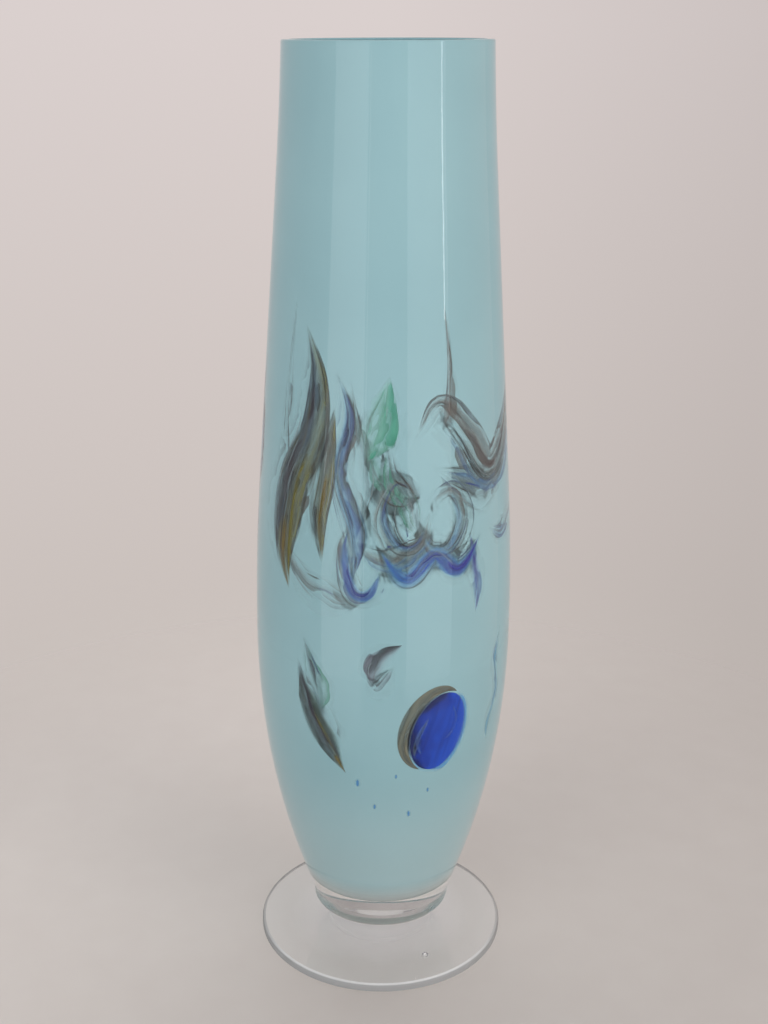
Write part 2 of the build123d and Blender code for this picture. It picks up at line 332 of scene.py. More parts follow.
@dataclass(frozen=True)
class TrailGlass(Finish):
    """Transparent coloured glass smeared on the opal while hot.

    Seen on the opal it is a stain: strong where it lies thick, smoky where it was drawn thin.
    Colours lie side by side across the trail and run along it as streaks. One side often keeps a
    hard, dark edge, and the other fades into the opal through a brighter halo.
    """

    across: tuple[tuple[float, str], ...]
    line: str
    halo: str
    opacity: float = 0.95
    hard_side: Side = Side.LOW
    soft: float = 0.45  # share of the width over which the soft side fades
    crisp: float = 0.05  # and the hard side
    far_edge: float = 0.12  # and the very edge of the soft side
    line_span: Pair = (0.16, 0.03)  # the dark line grows between these shares from the hard side
    line_depth: float = 0.8
    streak_mm: float = 1.3
    stretch: float = 16.0
    streak_span: Pair = (0.5, 0.72)  # of its noise
    streak_depth: float = 0.6
    drift_widths: float = 3.5  # patches of colour are this many streaks wide
    drift_span: Pair = (0.25, 0.75)  # of their noise
    warp: float = 0.35  # how far colours wander across the trail
    wisp: float = 0.35  # how much the stain thins in patches
    wisp_span: Pair = (0.3, 0.65)  # of the same noise
    ragged: float = 0.6  # how far the soft side's edge wanders with the colours
    pleats: float = 0.0  # folds across the trail, each dark at its crease and thin at its end
    pleat_crease: float = 0.4  # share of a fold
    pleat_end: float = 0.05
    pleat_depth: float = 0.75
    pleat_open: float = 0.7
    tips: Pair = (0.12, 0.12)
    body_from: float = 0.8  # strength at which no halo shows
    tone: float = 0.7  # the opal behind shows through, so the glass itself is deeper
    seed: float = 0.0

    def drawn_noise(
        self, tree: NodeTree, along_mm: float, across_mm: float, offset: float, detail: float
    ) -> Node:
        """Make a noise that is drawn out along the trail.

        Args:
            tree: The material's tree.
            along_mm: Size of its patches along the trail.
            across_mm: Size of its patches across it.
            offset: Where in the noise this one lies.
            detail: How many finer layers it has.

        Returns:
            The noise, from 0 to 1.
        """
        place = add(tree, "Mapping", {
            "Vector": add(tree, "UVMap", uv_map="flow"),  # millimetres along and across
            "Location": (self.seed + offset, self.seed, 0.0),
            "Scale": (1.0 / along_mm, 1.0 / across_mm, 1.0),
        })
        return add(tree, "TexNoise", {"Vector": place, "Scale": 1.0, "Detail": detail, "Distortion": 0.3})

    def colour_and_strength(self, tree: NodeTree) -> tuple[NodeSocket, Node]:
        """Work out the stain's colour and how strong it is.

        Args:
            tree: The material's tree.

        Returns:
            The colour, and the strength from 0 to 1.
        """
        share = add(tree, "UVMap", uv_map="share")  # 0 to 1 along and across
        along, across, _ = add(tree, "SeparateXYZ", {0: share}).outputs
        patch_mm, long_mm = self.drift_widths * self.streak_mm, self.stretch * self.streak_mm
        drift = self.drawn_noise(tree, self.stretch, patch_mm, offset=0.0, detail=2.0)
        hairs = self.drawn_noise(tree, long_mm, self.streak_mm, offset=7.0, detail=4.0)
        wander = add(tree, "MapRange", {
            "Value": drift, "From Min": self.drift_span[0], "From Max": self.drift_span[1],
            "To Min": -self.warp, "To Max": self.warp,
        })
        wandered = add(tree, "Math", {0: across, 1: wander}, operation="ADD")
        bands = add(tree, "ValToRGB", {"Fac": wandered})
        ramp = bands.color_ramp
        ramp.interpolation = "EASE"
        for i, (place, code) in enumerate(self.across):
            stop = ramp.elements[i] if i < 2 else ramp.elements.new(place)
            stop.position, stop.color = place, linear(code)
        # Shares of the width, from the hard side and from the soft one
        hard_at = 0.0 if self.hard_side is Side.LOW else 1.0
        from_hard = add(tree, "Math", {0: across, 1: hard_at}, operation="SUBTRACT")
        inward = add(tree, "Math", {0: from_hard}, operation="ABSOLUTE")
        outward = add(tree, "Math", {0: 1.0, 1: inward}, operation="SUBTRACT")
        ragged = add(tree, "Math", {0: wander, 1: self.ragged, 2: outward}, operation="MULTIPLY_ADD")
        even = self.hard_side is Side.NONE
        # Strength: hard on one side, soft on the other, thin at both tips and in patches
        fades = [
            (inward, 0.0, self.soft if even else self.crisp, 0.0),
            (ragged, 0.0, self.soft, 0.0),
            (outward, 0.0, self.far_edge, 0.0),
            (along, 0.0, self.tips[0], 0.0),
            (along, 1.0, 1.0 - self.tips[1], 0.0),
            (drift, *self.wisp_span, 1.0 - self.wisp),
        ]
        darker = [
            (hairs, *self.streak_span, self.streak_depth),
            (inward, *self.line_span, 0.0 if even else self.line_depth),
        ]
        if self.pleats:
            many = add(tree, "Math", {0: wandered, 1: self.pleats}, operation="MULTIPLY")
            fold = add(tree, "Math", {0: many}, operation="FRACT")
            fades.append((fold, 1.0, self.pleat_end, 1.0 - self.pleat_open))
            darker.append((fold, self.pleat_crease, 0.0, self.pleat_depth))
        smooth = {"interpolation_type": "SMOOTHSTEP"}
        colour = bands.outputs[0]
        for value, start, end, most in darker:
            span = {"Value": value, "From Min": start, "From Max": end, "To Max": most}
            shades = {0: add(tree, "MapRange", span, **smooth), 6: colour, 7: linear(self.line)}
            colour = add(tree, "Mix", shades, data_type="RGBA").outputs[2]
        strength = 1.0
        for value, start, end, least in fades:
            span = {"Value": value, "From Min": start, "From Max": end, "To Min": least}
            part = add(tree, "MapRange", span, **smooth)
            strength = add(tree, "Math", {0: strength, 1: part}, operation="MULTIPLY")
        deep = add(tree, "VectorMath", {0: colour, "Scale": self.tone}, operation="SCALE")
        body = add(tree, "MapRange", {"Value": strength, "From Max": self.body_from}, **smooth)
        haloed = add(tree, "Mix", {0: body, 6: linear(self.halo), 7: deep}, data_type="RGBA")
        return haloed.outputs[2], strength

    def surface(self, tree: NodeTree) -> Node:
        """Build the shader.

        Args:
            tree: The material's tree.

        Returns:
            A stain whose strength is its alpha. Lamps shine through it onto the opal.
        """
        colour, strength = self.colour_and_strength(tree)
        alpha = add(tree, "Math", {0: strength, 1: self.opacity}, operation="MULTIPLY")
        return open_to_lamps(tree, add(tree, "BsdfPrincipled", {
            "Base Color": colour, "Roughness": 0.6, "Specular IOR Level": 0.0, "Alpha": alpha,
        }))


@dataclass(frozen=True)
class PaintedShelf(Finish):
    """Matt emulsion paint on a smooth board: pale, with a faint roller mottle, painted lighter to the left
    and back as painted light.
    """

    light: str = "#ccc6c1"
    dark: str = "#c7c0bb"
    mottle_mm: float = 18.0
    fall_right: float = -0.8  # painted light: the left and the back of the shelf are painted lighter, by these slopes
    fall_back: float = 0.5
    fall_span: Pair = (-0.12, 0.145)  # of the sloped distance, in metres
    fall_level: Pair = (0.94, 1.19)  # times the paint's colour
    clear_from_mm: float = 150.0
    clear_to_mm: float = 400.0

    def surface(self, tree: NodeTree) -> Node:
        """Build the shader, which runs out into the plain background far from the vase.

        Args:
            tree: The material's tree.

        Returns:
            A pale matt paint.
        """
        place = add(tree, "TexCoord").outputs["Object"]
        mottle = add(tree, "TexNoise", {"Vector": place, "Scale": 1 / (self.mottle_mm * MM), "Detail": 4.0})
        shades = {0: mottle, 6: linear(self.dark), 7: linear(self.light)}
        colour = add(tree, "Mix", shades, data_type="RGBA").outputs[2]
        # Painted light: the paint's colour is scaled up towards the left and the back
        slope = (self.fall_right, self.fall_back, 0.0)
        fall = add(tree, "VectorMath", {0: place, 1: slope}, operation="DOT_PRODUCT").outputs["Value"]
        level = add(tree, "MapRange", {
            "Value": fall, "From Min": self.fall_span[0], "From Max": self.fall_span[1],
            "To Min": self.fall_level[0], "To Max": self.fall_level[1],
        })
        lit = add(tree, "VectorMath", {0: colour, "Scale": level}, operation="SCALE")
        paint = add(tree, "BsdfPrincipled", {"Base Color": lit, "Roughness": 0.75, "Specular IOR Level": 0.2})
        distance = add(tree, "VectorMath", {0: place}, operation="LENGTH").outputs["Value"]
        ends = {"From Min": self.clear_from_mm * MM, "From Max": self.clear_to_mm * MM}
        fade = add(tree, "MapRange", {"Value": distance, **ends}, interpolation_type="SMOOTHSTEP")
        return add(tree, "MixShader", {0: fade, 1: paint, 2: add(tree, "BsdfTransparent")})


@dataclass
class BodyLine:
    """The body's outside line, in millimetres, from the lip of the base up to the rim.

    Overall sizes come from the frame; the rest is what the line needs between them.
    """

    height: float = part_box("clear_casing")[1][2] / MM
    belly_radius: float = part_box("clear_casing")[1][0] / MM
    lip_height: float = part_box("clear_casing")[0][2] / MM
    opal_bottom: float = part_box("opal_lining")[0][2] / MM
    rim_radius: float = 34.3
    neck_below_rim: float = 40.0
    neck_radius: float = 36.4
    belly_height: float = 125.4
    shoulder_height: float = 181.0
    lip_radius: float = 25.9
    lip_band: float = 4.2
    casing: float = 2.4  # thickness of the clear glass over the opal
    opal: float = 1.1  # thickness of the opal
    opal_corner: float = 16.0  # the bubble's rounded bottom

    def wall(self) -> np.ndarray:
        """Trace the wall.

        Returns:
            Rows of radius and height, from the lip up.
        """
        belly = (self.belly_radius, self.belly_height)
        lip_top = (self.lip_radius, self.lip_height + self.lip_band)
        rise = self.height - self.neck_below_rim - self.shoulder_height
        curve = self.shoulder_height - self.belly_height
        drop = (self.belly_radius - self.neck_radius) * curve / (curve + 2 * rise)
        shoulder = (self.belly_radius - drop, self.shoulder_height)
        neck = (self.neck_radius, self.height - self.neck_below_rim)
        lower = tangent_arc(belly, (0, -1), lip_top, 48)[::-1]
        upper = tangent_arc(belly, (0, 1), shoulder, 24)
        taper = (neck[0] - shoulder[0], neck[1] - shoulder[1])
        rim = tangent_arc(neck, taper, (self.rim_radius, self.height), 16)
        return np.vstack([lower, upper[1:], straight(shoulder, neck, 24)[1:], rim[1:]])

    def radius(self, height: np.ndarray) -> np.ndarray:
        """Outside radius at some heights."""
        line = self.wall()
        return np.interp(height, line[:, 1], line[:, 0])

    def layer(self, depth: float, bottom: float, corner: float) -> np.ndarray:
        """Trace a layer inside the wall, from the axis out and up to the rim.

        Args:
            depth: How far the layer lies below the outside.
            bottom: Height of its flat bottom.
            corner: Radius of the round between bottom and wall.

        Returns:
            Rows of radius and height.
        """
        wall = self.wall() - (depth, 0.0)
        steps = np.diff(wall, axis=0)
        slope = np.append(steps[:, 0] / steps[:, 1], 0.0)
        reach = np.sqrt(1 + slope**2)
        centre_r = wall[:, 0] - corner / reach
        centre_z = wall[:, 1] + corner * slope / reach
        start = int(np.argmax(centre_z >= bottom + corner))
        turn = math.pi / 2 - math.atan(slope[start])
        angles = np.linspace(0, turn, 20)
        round_r = centre_r[start] + corner * np.sin(angles)
        round_z = bottom + corner - corner * np.cos(angles)
        flat = straight((0.0, bottom), (round_r[0], bottom), 6)[:-1]
        return np.vstack([flat, np.column_stack([round_r, round_z]), wall[start + 1 :]])


def tangent_arc(start: Pair, along: Pair, end: Pair, steps: int) -> np.ndarray:
    """Trace the arc that leaves one point in a given direction and ends at another.

    Args:
        start: First point.
        along: Direction in which the arc leaves it.
        end: Last point.
        steps: Number of steps along the arc.

    Returns:
        One more row than steps, from start to end.
    """
    direction = np.array(along, float) / math.hypot(*along)
    normal = np.array((-direction[1], direction[0]))
    chord = np.array(end, float) - np.array(start, float)
    radius = chord @ chord / (2 * chord @ normal)
    turns = np.linspace(0, 2 * math.atan2(chord @ normal, chord @ direction), steps + 1)[:, None]
    return np.array(start) + radius * (np.sin(turns) * direction + (1 - np.cos(turns)) * normal)


def straight(start: Pair, end: Pair, steps: int) -> np.ndarray:
    """Points of a straight run, ends included."""
    return np.linspace(start, end, steps + 1)


def smooth_path(points: np.ndarray, steps: int) -> np.ndarray:
    """Draw a smooth curve through points.

    Args:
        points: Rows of any numbers that change along the path.
        steps: Number of steps between two points.

    Returns:
        The same columns, at every step.
    """
    ends = np.vstack([2 * points[0] - points[1], points, 2 * points[-1] - points[-2]])
    t = np.linspace(0, 1, steps, endpoint=False)[:, None]
    runs = []
    for before, first, last, after in zip(ends, ends[1:], ends[2:], ends[3:]):
        runs.append(
            first
            + (last - before) * t / 2
            + (2 * before - 5 * first + 4 * last - after) * t**2 / 2
            + (3 * first - before - 3 * last + after) * t**3 / 2
        )
    return np.vstack([*runs, points[-1]])


def solid_of(name: str, points: np.ndarray, faces: list, sharp_degrees: float = 35.0) -> Object:
    """Make an object from points in millimetres, with faces turned outwards and shaded smooth.

    Args:
        name: The piece's name.
        points: One row for each point.
        faces: Point numbers of each face.
        sharp_degrees: Edges that turn by more than this stay crisp.

    Returns:
        The object, linked to the scene.
    """
    mesh = bpy.data.meshes.new(name)
    mesh.from_pydata((points * MM).tolist(), [], faces)
    bm = bmesh.new()
    bm.from_mesh(mesh)
    bmesh.ops.recalc_face_normals(bm, faces=bm.faces)
    bm.to_mesh(mesh)
    bm.free()
    mesh.shade_smooth()
    mesh.set_sharp_from_angle(angle=math.radians(sharp_degrees))
    piece = bpy.data.objects.new(name, mesh)
    bpy.context.scene.collection.objects.link(piece)
    return piece


def lathe(name: str, profile: np.ndarray, around: int = 192) -> Object:
    """Turn a half-section about the vase's axis into a closed solid.

    Args:
        name: The piece's name.
        profile: Rows of radius and height, whose first and last points lie on the axis.
        around: Number of steps round the axis.

    Returns:
        The solid.
    """
    turns = np.linspace(0, math.tau, around, endpoint=False)
    rings = profile[1:-1]
    circle = np.column_stack([np.cos(turns), np.sin(turns)])
    sides = (rings[:, None, :1] * circle[None]).reshape(-1, 2)
    heights = np.repeat(rings[:, 1], around)[:, None]
    points = np.vstack([np.hstack([sides, heights]), [0, 0, profile[0, 1]], [0, 0, profile[-1, 1]]])
    points = lean_rim(points)
    first, last = len(points) - 2, len(points) - 1
    faces = []
    for a in range(around):
        b = (a + 1) % around
        faces.append((first, b, a))
        top = (len(rings) - 1) * around
        faces.append((last, top + a, top + b))
        for ring in range(len(rings) - 1):
            low, high = ring * around, (ring + 1) * around
            faces.append((low + a, low + b, high + b, high + a))
    return solid_of(name, points, faces)


def lean_rim(points: np.ndarray, fall: float = 0.7, over: float = 60.0) -> np.ndarray:
    """Drop the rim a little on one side, as a rim cut by hand is never quite level.

    Args:
        points: Rows of x, y and z, in millimetres.
        fall: How far the rim's left side drops.
        over: How far below the rim the lean starts.

    Returns:
        The same points, with those near the rim moved down on the left.
    """
    body = BodyLine()
    share = np.clip((points[:, 2] - body.height + over) / over, 0, 1) ** 2
    side = np.clip((1 - points[:, 0] / body.rim_radius) / 2, 0, 1)
    return points - np.column_stack([0 * share, 0 * share, fall * share * side])


def belongs(piece: Object, nodes: tuple[str, ...]) -> None:
    """Tie a finished piece to the body, and hide the frame's own pieces for the nodes it stands for.

    Args:
        piece: The piece.
        nodes: The nodes it stands for.
    """
    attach(piece, "root")
    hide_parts(*nodes)
    log.info("%s: %d faces", piece.name, len(piece.data.polygons))


def belly_width(span: float) -> float:
    """Width of what takes so many degrees of the body's widest ring."""
    return 2 * BodyLine().belly_radius * math.sin(math.radians(span / 2))


@dataclass(frozen=True)
class Path:
    """Where one coloured bit lies: points across, up and half-wide, round an azimuth."""

    azimuth: float
    points: np.ndarray


@dataclass(frozen=True)
class Oval:
    """A rounded bit's outline, in millimetres, laid out flat round an azimuth."""

    azimuth: float  # degrees from the front, towards the right
    centre: float  # height of its middle
    width: float
    tall: float
    lean: float = 0.0  # degrees by which its top leans to the left
    across: float = 0.0  # how far its middle lies to the right

    def path(self) -> Path:
        """Lay out the path up its middle.

        Returns:
            The path.
        """
        turns = np.linspace(0, math.pi, 60)
        up = -np.cos(turns) * self.tall / 2
        tilt = math.radians(self.lean)
        x, z = self.across - up * math.sin(tilt), self.centre + up * math.cos(tilt)
        return Path(self.azimuth, np.column_stack([x, z, self.width / 2 * np.sin(turns)]))

    def crescent(self, gap: float, shift: Pair) -> Path:
        """Lay out a crescent that hugs it.

        Args:
            gap: Distance between the two, in millimetres.
            shift: Which way the crescent bulges, and how far, in millimetres.

        Returns:
            The path along the crescent's middle.
        """
        half, half_tall = self.width / 2 + gap, self.tall / 2 + gap
        tilt = math.radians(self.lean)
        turns = np.linspace(0, math.tau, 241)
        flat = np.column_stack([half * np.cos(turns), half_tall * np.sin(turns)])
        out = np.column_stack([np.cos(turns) / half, np.sin(turns) / half_tall])
        turn = np.array([[math.cos(tilt), math.sin(tilt)], [-math.sin(tilt), math.cos(tilt)]])
        edge, out = flat @ turn, out @ turn
        out /= np.linalg.norm(out, axis=1)[:, None]
        thick = out @ np.array(shift)
        start = int(np.argmax((thick > 0) & (np.roll(thick, 1) <= 0)))
        edge, out, thick = (np.roll(a[:-1], -start, axis=0) for a in (edge, out, thick))
        keep = thick > 0
        x, z = (edge + out * thick[:, None] / 2)[keep].T
        return Path(self.azimuth, np.column_stack([x, z + self.centre, thick[keep] / 2]))


@dataclass(frozen=True)
class Strand:
    """One colour drawn along a path: a closed sliver of glass, thickest in its middle."""

    glass: TrailGlass
    shift: float = 0.0  # of its middle from the path's, as a share of the half-width
    wide: float = 1.0  # as a share of the half-width
    start: float = 0.0  # shares of the path's length
    end: float = 1.0
    layer: int = 0  # strands of a higher layer lie over the others
    drift: float = 0.0  # how far its shift has changed at its end
    bow: float = 0.0  # how far its middle bends aside


@dataclass(frozen=True)
class FoldRange:
    """How thin lines in pulled glass differ, as shares of the path's length and half-width."""

    start: Pair = (0.02, 0.6)
    run: Pair = (0.22, 0.6)
    end_most: float = 0.985
    wide: Pair = (0.04, 0.13)
    drift: Pair = (-0.4, 0.4)
    bow: Pair = (-0.25, 0.25)


def folds(
    seed: int, count: int, glasses: tuple[TrailGlass, ...], spread: float = 0.85, layer: int = 4
) -> list[Strand]:
    """Draw thin lines along a path, as folds in pulled glass leave them.

    Args:
        seed: Seed of their places.
        count: How many lines.
        glasses: Their glasses, used in turn.
        spread: How far they lie from the middle, as a share of the half-width.
        layer: Their layer.

    Returns:
        The lines.
    """
    pick, span = random.Random(seed), FoldRange()
    lines = []
    for i in range(count):
        start = pick.uniform(*span.start)
        lines.append(
            Strand(
                glasses[i % len(glasses)], shift=pick.uniform(-spread, spread),
                wide=pick.uniform(*span.wide), start=start,
                end=min(start + pick.uniform(*span.run), span.end_most), layer=layer,
                drift=pick.uniform(*span.drift), bow=pick.uniform(*span.bow),
            )
        )
    return lines


@dataclass
class ColourBit:
    """A bit of coloured glass between opal and casing, made of strands drawn along paths."""

    name: str
    node: str
    slot: str
    drawn: list[tuple[Path, tuple[Strand, ...]]]
    body: BodyLine = field(default_factory=BodyLine)
    bury: float = 0.05  # how far a strand's back and edges lie in the opal
    crown: float = 0.10  # most that a strand stands proud of its layer
    crown_share: float = 0.05  # and that height as a share of its half-width
    layer_step: float = 0.07
    bend_share: float = 0.75  # of a bend's radius that a strand may fill
    least_bend: float = 1e-6  # under this a path counts as straight
    taper_share: float = 0.25  # of a strand's length over which an end inside the path tapers
    taper_power: float = 0.6
    thinnest: float = 0.05  # half-width at a drawn-out tip
    along: int = 72
    across: int = 8
    hair_wide: float = 0.2  # a strand under this share of the half-width is only a line
    hair_across: int = 3

    def sliver(self, path: Path, strand: Strand, across: int) -> tuple[np.ndarray, np.ndarray, np.ndarray]:
        """Lay one strand on the body.

        Args:
            path: The path that it is drawn along.
            strand: The strand.
            across: Number of steps across it.

        Returns:
            A grid of points over the front and back, and its flow and share places.
        """
        steps = np.hypot(*np.diff(path.points[:, :2], axis=0).T)
        run = np.concatenate([[0.0], np.cumsum(steps)])
        t = (1 - np.cos(np.linspace(0, math.pi, self.along + 1))) / 2
        at = (strand.start + (strand.end - strand.start) * t) * run[-1]
        x, z, half = (np.interp(at, run, column) for column in path.points.T)
        dx, dz = np.gradient(x), np.gradient(z)
        length = np.hypot(dx, dz)
        side_x, side_z = -dz / length, dx / length
        taper = np.ones_like(t)
        for inside, to_end in ((strand.start > 0, t), (strand.end < 1, 1 - t)):
            if inside:
                taper *= np.clip(to_end / self.taper_share, 0, 1) ** self.taper_power
        wide = np.maximum(strand.wide * half * taper, self.thinnest)
        shift = strand.shift + strand.drift * t + strand.bow * 4 * t * (1 - t)
        v = np.linspace(-1, 1, across + 1)
        offset = (shift * half)[:, None] + wide[:, None] * v[None, :]
        # On the inside of a bend the edge stops short of the bend's centre
        bend = np.gradient(np.unwrap(np.arctan2(dz, dx)), at)[:, None]
        reach = self.bend_share / np.maximum(np.abs(bend), self.least_bend)
        offset = np.where(bend > 0, np.minimum(offset, reach), offset)
        offset = np.where(bend < 0, np.maximum(offset, -reach), offset)
        flat_x = x[:, None] + side_x[:, None] * offset
        flat_z = z[:, None] + side_z[:, None] * offset
        rise = np.minimum(self.crown, self.crown_share * wide)[:, None] * np.sqrt(1 - v**2)[None, :]
        rise = rise + self.layer_step * strand.layer
        opal = self.body.radius(flat_z) - self.body.casing
        grids = []
        for lift in (rise, np.full_like(rise, -self.bury)):
            r = opal + lift
            turn = math.radians(path.azimuth) + np.arcsin(np.clip(flat_x / opal, -1, 1))
            grids.append(np.stack([r * np.sin(turn), -r * np.cos(turn), flat_z], axis=-1))
        flow = np.stack([np.broadcast_to(at[:, None], offset.shape), offset], axis=-1)
        share = np.stack(np.broadcast_arrays(t[:, None], (v[None, :] + 1) / 2), axis=-1)
        return np.stack(grids), flow, share

    def sliver_faces(self, across: int) -> list[tuple[int, ...]]:
        """Number the faces of one strand: its front and back, and the strip round its edge.

        Args:
            across: Number of steps across it.

        Returns:
            The faces, with the strand's own points counted from 0.
        """
        rows, columns = self.along + 1, across + 1
        count = rows * columns
        faces = []
        for i in range(self.along):
            for j in range(across):
                a = i * columns + j
                front = (a, a + 1, a + 1 + columns, a + columns)
                faces += [front, tuple(count + n for n in reversed(front))]
        ring = [i * columns for i in range(rows)]
        ring += [self.along * columns + j for j in range(1, columns)]
        ring += [i * columns + across for i in range(self.along - 1, -1, -1)]
        ring += list(range(across - 1, 0, -1))
        return faces + [(a, count + a, count + b, b) for a, b in zip(ring, ring[1:] + ring[:1])]

    def build(self) -> None:
        """Build the piece: a closed sliver for each strand, and a finish for each glass."""
        glasses = list({s.glass.name: s.glass for _, strands in self.drawn for s in strands}.values())
        points, faces, finish, flows, shares = [], [], [], [], []
        for path, strands in self.drawn:
            for strand in strands:
                across = self.hair_across if strand.wide < self.hair_wide else self.across
                grids, flow, share = self.sliver(path, strand, across)
                base, own = sum(map(len, points)), self.sliver_faces(across)
                points.append(grids.reshape(-1, 3))
                flows.append(np.tile(flow.reshape(-1, 2), (2, 1)))
                shares.append(np.tile(share.reshape(-1, 2), (2, 1)))
                faces += [tuple(base + n for n in face) for face in own]
                finish += [glasses.index(strand.glass)] * len(own)
        piece = solid_of(self.name, np.vstack(points), faces, sharp_degrees=60.0)
        for name, places in (("flow", np.vstack(flows)), ("share", np.vstack(shares))):
            layer = piece.data.uv_layers.new(name=name)
            corners = np.zeros(len(piece.data.loops), dtype=np.int32)
            piece.data.loops.foreach_get("vertex_index", corners)
            layer.data.foreach_set("uv", places[corners].astype(np.float32).ravel())
        paint(piece, [finished(glass) for glass in glasses], np.array(finish))
        belongs(piece, (self.node,))


def finished(glass: TrailGlass) -> Material:
    """Give a coloured glass its material, made once under a name that no slot has."""
    return bpy.data.materials.get(f"{glass.name}_stain") or glass.material("_stain")


def paint(piece: Object, finishes: list[Material], chosen: np.ndarray) -> None:
    """Give each face of a piece its finish.

    Args:
        piece: The piece.
        finishes: The finishes it has.
        chosen: Number of each face's finish.
    """
    for finish in finishes:
        piece.data.materials.append(finish)
    piece.data.polygons.foreach_set("material_index", chosen.astype(np.int32))


def face_centres(piece: Object) -> tuple[np.ndarray, np.ndarray]:
    """Find the middle of each face.

    Args:
        piece: The piece.

    Returns:
        Their distances from the axis and their heights, in millimetres.
    """
    centres = np.zeros(3 * len(piece.data.polygons))
    piece.data.polygons.foreach_get("center", centres)
    x, y, z = centres.reshape(-1, 3).T / MM
    return np.hypot(x, y), z


@dataclass
class OpalBubble:
    """The inner bubble of opal glass, which gives the body its colour and holds the water."""

    body: BodyLine = field(default_factory=BodyLine)
    below_rim: float = 0.05  # the cut rim stands this little above it
    edge_break: float = 0.3
    outside: OpalGlass = OpalGlass("bonded_aqua_opal_glass")
    inside: OpalGlass = OpalGlass("fire_polished_aqua_opal_glass", bonded=False)

    def build(self) -> None:
        """Build the opal piece."""
        body = self.body
        depth = body.casing + body.opal
        outer = body.layer(body.casing, body.opal_bottom, body.opal_corner)
        inner = body.layer(depth, body.opal_bottom + body.opal, body.opal_corner - body.opal)
        top = body.height - self.below_rim
        outer[-1, 1] = top
        edge = inner[-1, 0]
        inner[-1] = (edge, top - self.edge_break)
        profile = np.vstack([outer, (edge + self.edge_break, top), inner[::-1]])
        piece = lathe("opal_bubble", profile)
        radius, height = face_centres(piece)
        middle = body.radius(height) - body.casing - body.opal / 2
        well = (radius < middle) & (height > body.opal_bottom + body.opal / 2)
        paint(piece, [self.outside.material(), self.inside.material()], well)
        belongs(piece, ("opal_lining",))


@dataclass
class ClearBody:
    """The outer gather of clear glass over the opal, solid under it, with a sharp lower lip."""

    body: BodyLine = field(default_factory=BodyLine)
    lip_round: float = 1.1
    rim_bevel: float = 0.35
    bond: float = 0.15  # how far its inside reaches into the opal, so that no air lies between
    join_radius: float = 8.0
    glass: ClearGlass = ClearGlass("cased_clear_glass")
    join: FusedJoin = FusedJoin("fused_base_join")

    def build(self) -> None:
        """Build the clear piece."""
        body = self.body
        low = body.lip_height
        lip = (body.lip_radius - self.lip_round, low)
        wall = body.wall()
        wall[-1, 1] -= self.rim_bevel
        depth = body.casing + self.bond
        inner = body.layer(depth, body.opal_bottom + self.bond, body.opal_corner - self.bond)
        profile = np.vstack(
            [
                straight((0.0, low), (self.join_radius, low), 3),
                tangent_arc(lip, (1, 0), (body.lip_radius, low + self.lip_round), 8),
                straight((body.lip_radius, low + self.lip_round), tuple(wall[0]), 2)[1:],
                wall[1:],
                (body.rim_radius - self.rim_bevel, body.height),
                inner[::-1],
            ]
        )
        piece = lathe("clear_gather", profile)
        radius, height = face_centres(piece)
        fused = (radius < self.join_radius) & (np.abs(height - low) < self.bond)
        paint(piece, [self.glass.material(), self.join.material()], fused)
        belongs(piece, ("clear_casing",))


@dataclass(frozen=True)
class Seed:
    """A small air bubble caught in the glass."""

    azimuth: float
    radius: float  # from the vase's axis, in millimetres
    height: float
    size: float


